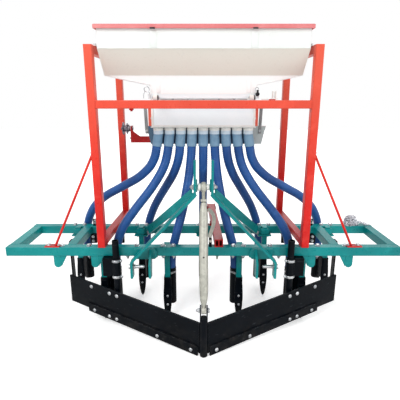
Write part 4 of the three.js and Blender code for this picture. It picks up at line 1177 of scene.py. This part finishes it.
# ---------------------------------------------------------------- hitch
def add_hitch():
    """The top link's pin between its two plates, and the two lower pins with their welds."""
    steel, teal, white = Maker(), Maker(), Maker()
    y, z, pin_z = LINK_Y, TOP_LINK_Z, LOWER_LINK_Z
    for side in (-1, 1):
        nut_and_thread(steel, (side * 50, y, z), (side, 0, 0), 15, 0.35)
        bevelled(teal, rounded_outline(40, 64, 14), 6.6, across_x(side * 34 - 3.3, y, z + 8), 1.2)
    round_rod(steel, (-30.5, y, z), (30.5, y, z), 12.4, 28, 1)
    pipe_ring(white, (-29.5, y, z), (-13.5, y, z), 12.6, 19.5, chamfer=3)
    pipe_ring(white, (13.5, y, z), (29.5, y, z), 12.6, 16.5, chamfer=2)
    for side in (-1, 1):
        pipe_ring(steel, (side * 372.6, y, pin_z), (side * 319.4, y, pin_z), 7.6, 9.0, chamfer=0.6)
        nut_and_thread(steel, (side * 372.6, y, pin_z), (-side, 0, 0), 13, 0.0)
        rings = [(4, 0), (8, 0.4), (9.2, 2), (8, 4.4), (5, 5.2)]
        lathe(steel, rings, aim((side * 320, y, pin_z), (-side, 0, 0)), 28)
        hex_head(steel, (side * 385.2, y, pin_z), (side, 0, 0), 14)
        rise = [(side * 249, -2, BEAM_TOP - 6), (side * 249, -2, BEAM_BOTTOM - 6)]
        weld(teal, rise, 2.2, seed=11)
        for x0 in (side * 276, side * 290):
            weld(teal, [(x0, -12.5, BEAM_TOP - 12), (x0, -13, BEAM_BOTTOM - 8)], 2.2, seed=12)
        weld(teal, [(side * 47, -24.5, 745), (side * 44, -24.5, 800)], 2.0, seed=14)
        hex_head(steel, (side * 340, BEAM_LOW.y - 8.3, 411), -Y, 13)
    steel.piece("hitch_pins", STEEL, stands_for="top_hitch_pin")
    teal.piece("hitch_plates", TEAL)
    white.piece("top_link_bushes", WHITE)


# ---------------------------------------------------------------- stand and hopper
STAND_TOP = node_box("stand_left")[1].z
RAIL_UNDER = STAND_TOP - 40
TOE_IN = 22 / 570
POST_INNER, POST_OUTER = 528, 568
STAND_WELD_Z = 451
HINGE_XS = (-340, 0, 340)
HINGE_Y, HINGE_Z = 624, 1549


def stand_x(side, x, y):
    """The side frames stand closer together towards the back."""
    return side * (x - TOE_IN * (y - 20))


def add_stand_details():
    """Weld beads at the stand's crossbars, posts and foot rails, with the foot and rail bolts."""
    beads, bolts = Maker(), Maker()
    bars = [node_box("stand_crossbar_front"), node_box("stand_crossbar_rear")]
    for side in (-1, 1):
        for bar_low, bar_high in bars:
            y0, y1, z0, z1 = bar_low.y, bar_high.y, bar_low.z, bar_high.z
            x = stand_x(side, POST_INNER, y0)
            corners = [(x, y0 + 3, z0), (x, y1 - 3, z0), (x, y1, z0 + 3), (x, y1, z1 - 3),
                       (x, y1 - 3, z1), (x, y0 + 3, z1), (x, y0, z1 - 3), (x, y0, z0 + 3)]
            weld_loop(beads, corners, 2.0, seed=21)
        for y in (40, 570):
            ends = (stand_x(side, 530, y), stand_x(side, 566, y))
            for z in (491, RAIL_UNDER - 1):
                weld(beads, [(ends[0], y, z), (ends[1], y, z)], 2.2, seed=z)
        z = STAND_WELD_Z
        weld(beads, [(side * 530, -0.6, z), (side * 566, -0.6, z)], 2.2, seed=25)
        for x in (POST_INNER, POST_OUTER):
            for y0, y1 in ((4, 48), (358, 404)):
                weld(beads, [(stand_x(side, x, y0), y0, z), (stand_x(side, x, y1), y1, z)], 2.2, seed=26)
        for z, x in ((958, side * 570), (458, side * 801)):
            turns = (0, 1.05, 2.1, 3.14, 4.19, 5.24)
            ring = [(x + 7 * math.cos(a), 20 + 7 * math.sin(a), z) for a in turns]
            weld_loop(beads, ring, 1.8, seed=28)
        hex_head(bolts, (side * 838, 20, 456.4), Z, 11, turn=side)
        hex_head(bolts, (side * 786, 20, 456.4), Z, 9, turn=side)
        for y in (85, 525):
            hex_head(bolts, (stand_x(side, 536, y), y, STAND_TOP + 5.3), Z, 9, turn=y)
    beads.piece("stand_welds", RED, sharp=60)
    bolts.piece("stand_bolts", STEEL)


def sheet_lid():
    """The lid as folded sheet: a slightly crowned top, rolled edges and round corners."""
    low, high = node_box("hopper_lid")
    lid = Maker()
    x0, x1, y0, y1 = low.x, high.x, -14, 612
    top = high.z
    width, depth = x1 - x0, y1 - y0
    outline = rounded_outline(width, depth, 9)
    place = Matrix.Translation(((x0 + x1) / 2, (y0 + y1) / 2, top - 6))
    bevelled(lid, outline, 6, place, 2.4, 3)
    under = top - 19
    slab(lid, (x0 + 0.3, y0 + 0.3, under), (x1 - 0.3, y0 + 7, top - 1.5), 2.2, 3)
    for x in (x0 + 0.3, x1 - 7.3):
        slab(lid, (x, y0 + 2, under), (x + 7, y1 - 0.3, top - 1.5), 2.2, 3)
    for x in HINGE_XS:
        round_rod(lid, (x - 24, HINGE_Y, HINGE_Z), (x + 24, HINGE_Y, HINGE_Z), 8, 24, 1.2)
        slab(lid, (x - 24, 608, HINGE_Z + 2), (x + 24, HINGE_Y, top - 1.2), 1.2)
    for x in (-260, 0, 260):
        slab(lid, (x - 3, y0 + 12, top - 8.5), (x + 3, y1 - 16, top - 5.5), 1)
    lid.piece("lid_sheet", LID_RED, body="lid", stands_for="hopper_lid")
    hasps = Maker()
    for x in (-238, 239):
        slab(hasps, (x - 12, y0 - 2.5, under - 3), (x + 12, y0 + 0.5, under + 4), 1.2)
    hasps.piece("lid_hasps", DARK_STEEL, body="lid")


# The tank: half its width, its back, the heights its slope runs between, and the chute's faces.
TANK_HALF, TANK_BACK = 501, 610
SLOPE_TOP, SLOPE_FOOT = 1453, 1338
CHUTE_FRONT, CHUTE_BACK, CHUTE_HALF = 115, 495, 270


def add_hopper_details():
    """The tank's seams, hasp plates and chute strips, the flange bolts and the lid's hinge pins."""
    white, steel = Maker(), Maker()
    half, front, back, band, foot = TANK_HALF, CHUTE_FRONT, CHUTE_BACK, SLOPE_TOP, SLOPE_FOOT
    for x in (-236, 238):
        slab(white, (x - 17, -2.0, band + 4), (x + 17, 0.2, 1530), 1.0)
    weld(white, [(-half, -0.2, band), (half, -0.2, band)], 1.6, seed=31)
    for side in (-1, 1):
        x, chute = side * half, side * CHUTE_HALF
        weld(white, [(x, 2, band), (x, TANK_BACK - 2, band)], 1.6, seed=32)
        weld(white, [(x, 0, band), (x, front, foot)], 1.8, seed=33)
        weld(white, [(x, TANK_BACK, band), (x, back, foot)], 1.8, seed=34)
        weld(white, [(x, 0, band + 2), (x, 0, 1533)], 1.5, seed=35)
        weld(white, [(x, TANK_BACK, band + 2), (x, TANK_BACK, 1533)], 1.5, seed=36)
        weld(white, [(chute, front, 1292), (chute, front, 1250)], 1.5, seed=37)
        weld(white, [(chute, front, 1293), (x, front, foot)], 1.5, seed=38)
    weld(white, [(-half, front, foot), (half, front, foot)], 1.5, seed=39)
    weld(white, [(-half, back, foot), (half, back, foot)], 1.5, seed=40)
    for side in (-1, 1):
        slab(white, (side * 231 - 9, 111.5, 1253), (side * 231 + 9, 115.2, 1318), 1)
    for x in range(-240, 241, 80):
        hex_head(steel, (x, 132, 1224.6), -Z, 7, turn=x)
        nut_and_thread(steel, (x, 480, 1224.6), -Z, 7, 0.4, turn=x)
    for x in HINGE_XS:
        round_rod(steel, (x - 39, HINGE_Y, HINGE_Z), (x + 39, HINGE_Y, HINGE_Z), 3.6, 16, 0.8)
        for side in (-1, 1):
            coach_head(steel, (x + side * 36.2, HINGE_Y, HINGE_Z), (side, 0, 0), 6.5, 3.5)
    white.piece("hopper_seams", HOPPER, sharp=60)
    steel.piece("hopper_fixings", STEEL)


def tilt_about(place, turn):
    """The placement with its axes turned, its origin kept."""
    at = place.to_translation()
    return Matrix.Translation(at) @ turn @ Matrix.Translation(-at) @ place


STRAP_X, STRAP_FOOT = 315, 1036


def add_meter_details():
    """Seed-rate slides, rollers, the latch and the rings at the chute's foot."""
    white, steel, dark, red, grey = Maker(), Maker(), Maker(), Maker(), Maker()
    z = 1236
    y = 100
    turns = [k * math.pi / 12 for k in range(24)]
    ring = [(-289 + 13 * math.cos(a), y, 1271 + 13 * math.sin(a)) for a in turns]
    sweep(steel, ring, 2.2, sides=10, closed=True, up=Y)
    sweep(steel, [(-281, y, 1261), (-275, y, 1252), (-273, y, 1240), (-273, y, 1228)], 2.0, sides=10, up=Y)
    sweep(steel, [(-298, y, 1262), (-304, y, 1250), (-306, y, 1238), (-306, y, 1226)], 2.0, sides=10, up=Y)
    for side in (-1, 1):
        x = side * 246
        pipe_ring(white, (x - 12, y, z - 6), (x + 12, y, z - 6), 6, 14.5, chamfer=3)
        round_rod(dark, (x + 9, y, z - 6), (x + 16, y, z - 6), 13, 24, 2)
        round_rod(steel, (x - 16, y, z - 6), (x + 20, y, z - 6), 5.8, 16, 1)
        slab(white, (x - 22, y + 4, z - 22), (x + 22, y + 16, z - 8), 1.6)
    round_rod(dark, (276, y - 4, 1247), (276, y + 14, 1247), 10, 20, 3)
    slab(dark, (271, y - 1, 1247), (281, y + 7, 1268), 2)
    hook = [(268, y, 1262), (264, y, 1272), (268, y, 1281), (276, y, 1279), (281, y, 1270)]
    sweep(steel, hook, 2.0, sides=10, up=Y)
    slab(white, (352, y - 2, 1226), (357, y + 22, 1262), 1)
    slab(white, (366, y - 2, 1226), (371, y + 22, 1262), 1)
    slab(white, (346, y - 2, 1220), (378, y + 24, 1226), 1.2)
    slab(white, (298, y + 2, 1218), (352, y + 10, 1224), 1)
    slab(red, (322, 14, 1217.3), (352, 34, 1222), 1.2)
    slab(red, (-367, 10, 1170), (-347, 30, 1176.7), 1.4)
    hex_head(red, (-357, 20, 1170), -Z, 7)
    strap = [(-9, 0), (9, 0), (9, 172), (5, 176), (-5, 176), (-9, 172)]
    for side in (-1, 1):
        tilt = Matrix.Rotation(side * math.radians(2), 4, "Y")
        lay = facing_front(245.6, side * STRAP_X, STRAP_FOOT)
        bevelled(grey, strap, 3.4, tilt_about(lay, tilt), 1)
        for height in (1052, 1196):
            x = side * (STRAP_X + (height - STRAP_FOOT) * 0.035)
            hex_head(steel, (x, 242.2, height), -Y, 6, turn=height)
        for height in (1190, 1120):
            hex_head(steel, (side * 286, 245.8, height), -Y, 7, turn=height)
        slab(white, (side * 272 - 6, 160, 1084), (side * 272 + 6, 165.2, 1218), 1)
    slab(white, (-277, 160.5, 1079), (277, 165.3, 1086), 1)
    slab(white, (-277, 160.5, 1214), (277, 165.3, 1222), 1)
    slab(white, (-262, 444.8, 1110), (262, 449, 1116), 1)
    for x in range(-248, 249, 62):
        hex_head(steel, (x, 445, 1100), Y, 6, turn=x)
    grey.piece("meter_straps", STRAP_GREY)
    white.piece("meter_trim", WHITE)
    steel.piece("meter_fittings", STEEL)
    dark.piece("meter_latch", DARK_STEEL, slot="black_paint")
    red.piece("meter_tabs", DARK_RED)


SHAFT_Y, SHAFT_Z = 300, 1060


def sprocket_plate(maker, x, radius, teeth):
    """A toothed disc on the shaft; each tooth is given as parts of its pitch with their reach."""
    outline = []
    root = radius - 6
    tooth = [(0.0, root), (0.16, root + 0.4), (0.30, root + 2.2), (0.41, radius - 0.5), (0.46, radius),
             (0.54, radius), (0.59, radius - 0.5), (0.70, root + 2.2), (0.84, root + 0.4)]
    for k in range(teeth):
        for part, reach in tooth:
            a = 2 * math.pi * (k + part) / teeth
            outline.append((reach * math.cos(a), reach * math.sin(a)))
    bevelled(maker, outline, 6, across_x(x, SHAFT_Y, SHAFT_Z), 0.5, 1)


def add_drive():
    """What turns: the shaft, two sprockets and their hub. What stays: the bracket's bolts and bearing."""
    turning, fixed = Maker(), Maker()
    low, high = node_box("metering_shaft")
    y, z = SHAFT_Y, SHAFT_Z
    round_rod(turning, (low.x, y, z), (high.x, y, z), 9, 28, 1.2)
    sprocket_plate(turning, -460, 36, 14)
    sprocket_plate(turning, -438, 31, 12)
    hub = [(12, 0), (15.5, 1), (17.8, 3), (17.8, 37), (15.5, 39), (12, 40)]
    lathe(turning, hub, aim((-460, y, z), X), 28)
    for a in (0.4, 2.5, 4.6):
        at = Vector((-457, y + 26 * math.cos(a), z + 26 * math.sin(a)))
        coach_head(turning, at - X * 3, -X, 3.4, 2)
    hex_head(turning, (-428, y, z + 17.4), Z, 6)
    turning.piece("drive_sprockets", GREY_STEEL, body="drive_shaft", stands_for="metering_shaft")
    for dy in (-12, 12):
        hex_head(fixed, (-414, y + dy, 1006), -X, 7, turn=dy)
    hex_head(fixed, (-350, 304, 988.3), Z, 8)
    lathe(fixed, [(10.5, 0), (15, 0.4), (15, 3.4), (10.5, 4)], aim((-414.2, y, z), -X), 28)
    fixed.piece("drive_fixings", STEEL)


# ---------------------------------------------------------------- arm, chain and small things
def add_arm_details():
    """The bent strap beside the centre arm with its foot block, the red plates and their bolts."""
    grey, red, dark = Maker(), Maker(), Maker()
    strap = [(25, 22, 660), (40, 21, 648), (53, 20, 628), (58, 20, 604), (55, 20, 576), (47, 20, 548),
             (38, 20, 520), (35, 20, 500)]
    sweep(grey, strap, 10, sides=16, flat=0.28, up=Y)
    slab(dark, (30, 8, 450.4), (46, 34, 498), 2.4, 3)
    hex_head(grey, (38, 8, 484), -Y, 7)
    nut_and_thread(grey, (76, 25, BEAM_BOTTOM), -Z, 11, 1.6)
    low, high = node_box("centre_arm")
    middle = (low.x + high.x) / 2 - 11
    for side in (-1, 1):
        slab(red, (middle + side * 26 - 3, high.y - 62, 452), (middle + side * 26 + 3, high.y - 8, 500), 1.6)
        for y in (high.y - 48, high.y - 22):
            hex_head(grey, (middle + side * 29, y, 474), (side, 0, 0), 8, turn=y)
    for x0 in (48, 98):
        slab(red, (x0 - 5, 356, 450.4), (x0 + 5, 404, 470), 1.4)
    slab(red, (150, 407, 420), (172, 413, 598), 2)
    hex_head(grey, (161, 413, 436), Y, 10)
    hex_head(grey, (161, 407, 586), -Y, 8)
    grey.piece("arm_strap", ZINC)
    red.piece("arm_plates", DARK_RED)
    dark.piece("strap_block", BLACK)


def chain_link(maker, at, along, across, long, wide, radius):
    """One welded link as a closed loop."""
    at, along, across = Vector(at), Vector(along).normalized(), Vector(across).normalized()
    points, steps = [], 20
    for k in range(steps):
        a = 2 * math.pi * k / steps
        c, s = math.cos(a), math.sin(a)
        reach = (long - wide) / 2 * (1 if c > 0 else -1) + wide / 2 * c
        points.append(at + along * reach + across * (wide / 2 * s))
    sweep(maker, points, radius, sides=8, closed=True, up=along.cross(across))


def add_chain():
    """A chain lies heaped in a coil on the rear right corner of the frame, its end trailing off."""
    links = Maker()
    rng = random.Random(5)
    centre = Vector((938, 382, BEAM_TOP))
    number = 0
    for layer, (radius, lift) in enumerate(((40, 6), (38, 17), (34, 28), (29, 39), (23, 50), (15, 60))):
        count = max(4, int(2 * math.pi * radius / 19))
        for k in range(count):
            a = 2 * math.pi * k / count + layer * 0.9
            height = lift + rng.uniform(-2, 2)
            at = centre + Vector((radius * math.cos(a), radius * 0.56 * math.sin(a), height))
            along = Vector((-math.sin(a), 0.56 * math.cos(a), rng.uniform(-0.25, 0.25)))
            across = Z if number % 2 else Vector((math.cos(a), math.sin(a), 0))
            tip = across - along.normalized() * across.dot(along.normalized())
            chain_link(links, at, along, tip, 29, 15, 2.7)
            number += 1
    for k in range(5):
        at = centre + Vector((42 + 15 * k, -2 - 2 * k, 24 - 5 * k if k < 4 else 5))
        chain_link(links, at, (1, -0.12, -0.3 if k < 4 else 0), Z if k % 2 else Y, 27, 14, 2.6)
    links.piece("chain_coil", CHAIN)


def add_wing_stays():
    """Bolts on the outer face of the two wing stays."""
    bolts = Maker()
    for side in (-1, 1):
        low, high = node_box("wing_stay_left" if side < 0 else "wing_stay_right")
        x = low.x if side < 0 else high.x
        y = (low.y + high.y) / 2
        for z in (BEAM_TOP - 16, BEAM_BOTTOM + 14):
            hex_head(bolts, (x, y, z), (side, 0, 0), 10, turn=z)
        hex_head(bolts, (x, y, low.z + 24), (side, 0, 0), 10)
    bolts.piece("wing_stay_bolts", STEEL)


# ---------------------------------------------------------------- everything together
add_camera()
paint_nodes()
for tyne in range(1, TYNES + 1):
    add_hose(tyne)
add_outlets()
add_frame_welds()
add_beam_end_welds()
add_tyne_clamps()
add_black_clamps()
add_boots()
add_blade_details()
add_legs()
add_nose()
add_strut()
add_hitch()
add_stand_details()
sheet_lid()
add_hopper_details()
add_meter_details()
add_drive()
add_arm_details()
add_chain()
add_wing_stays()
add_stage()
add_lamps()
bpy.context.scene.view_settings.view_transform = "Standard"
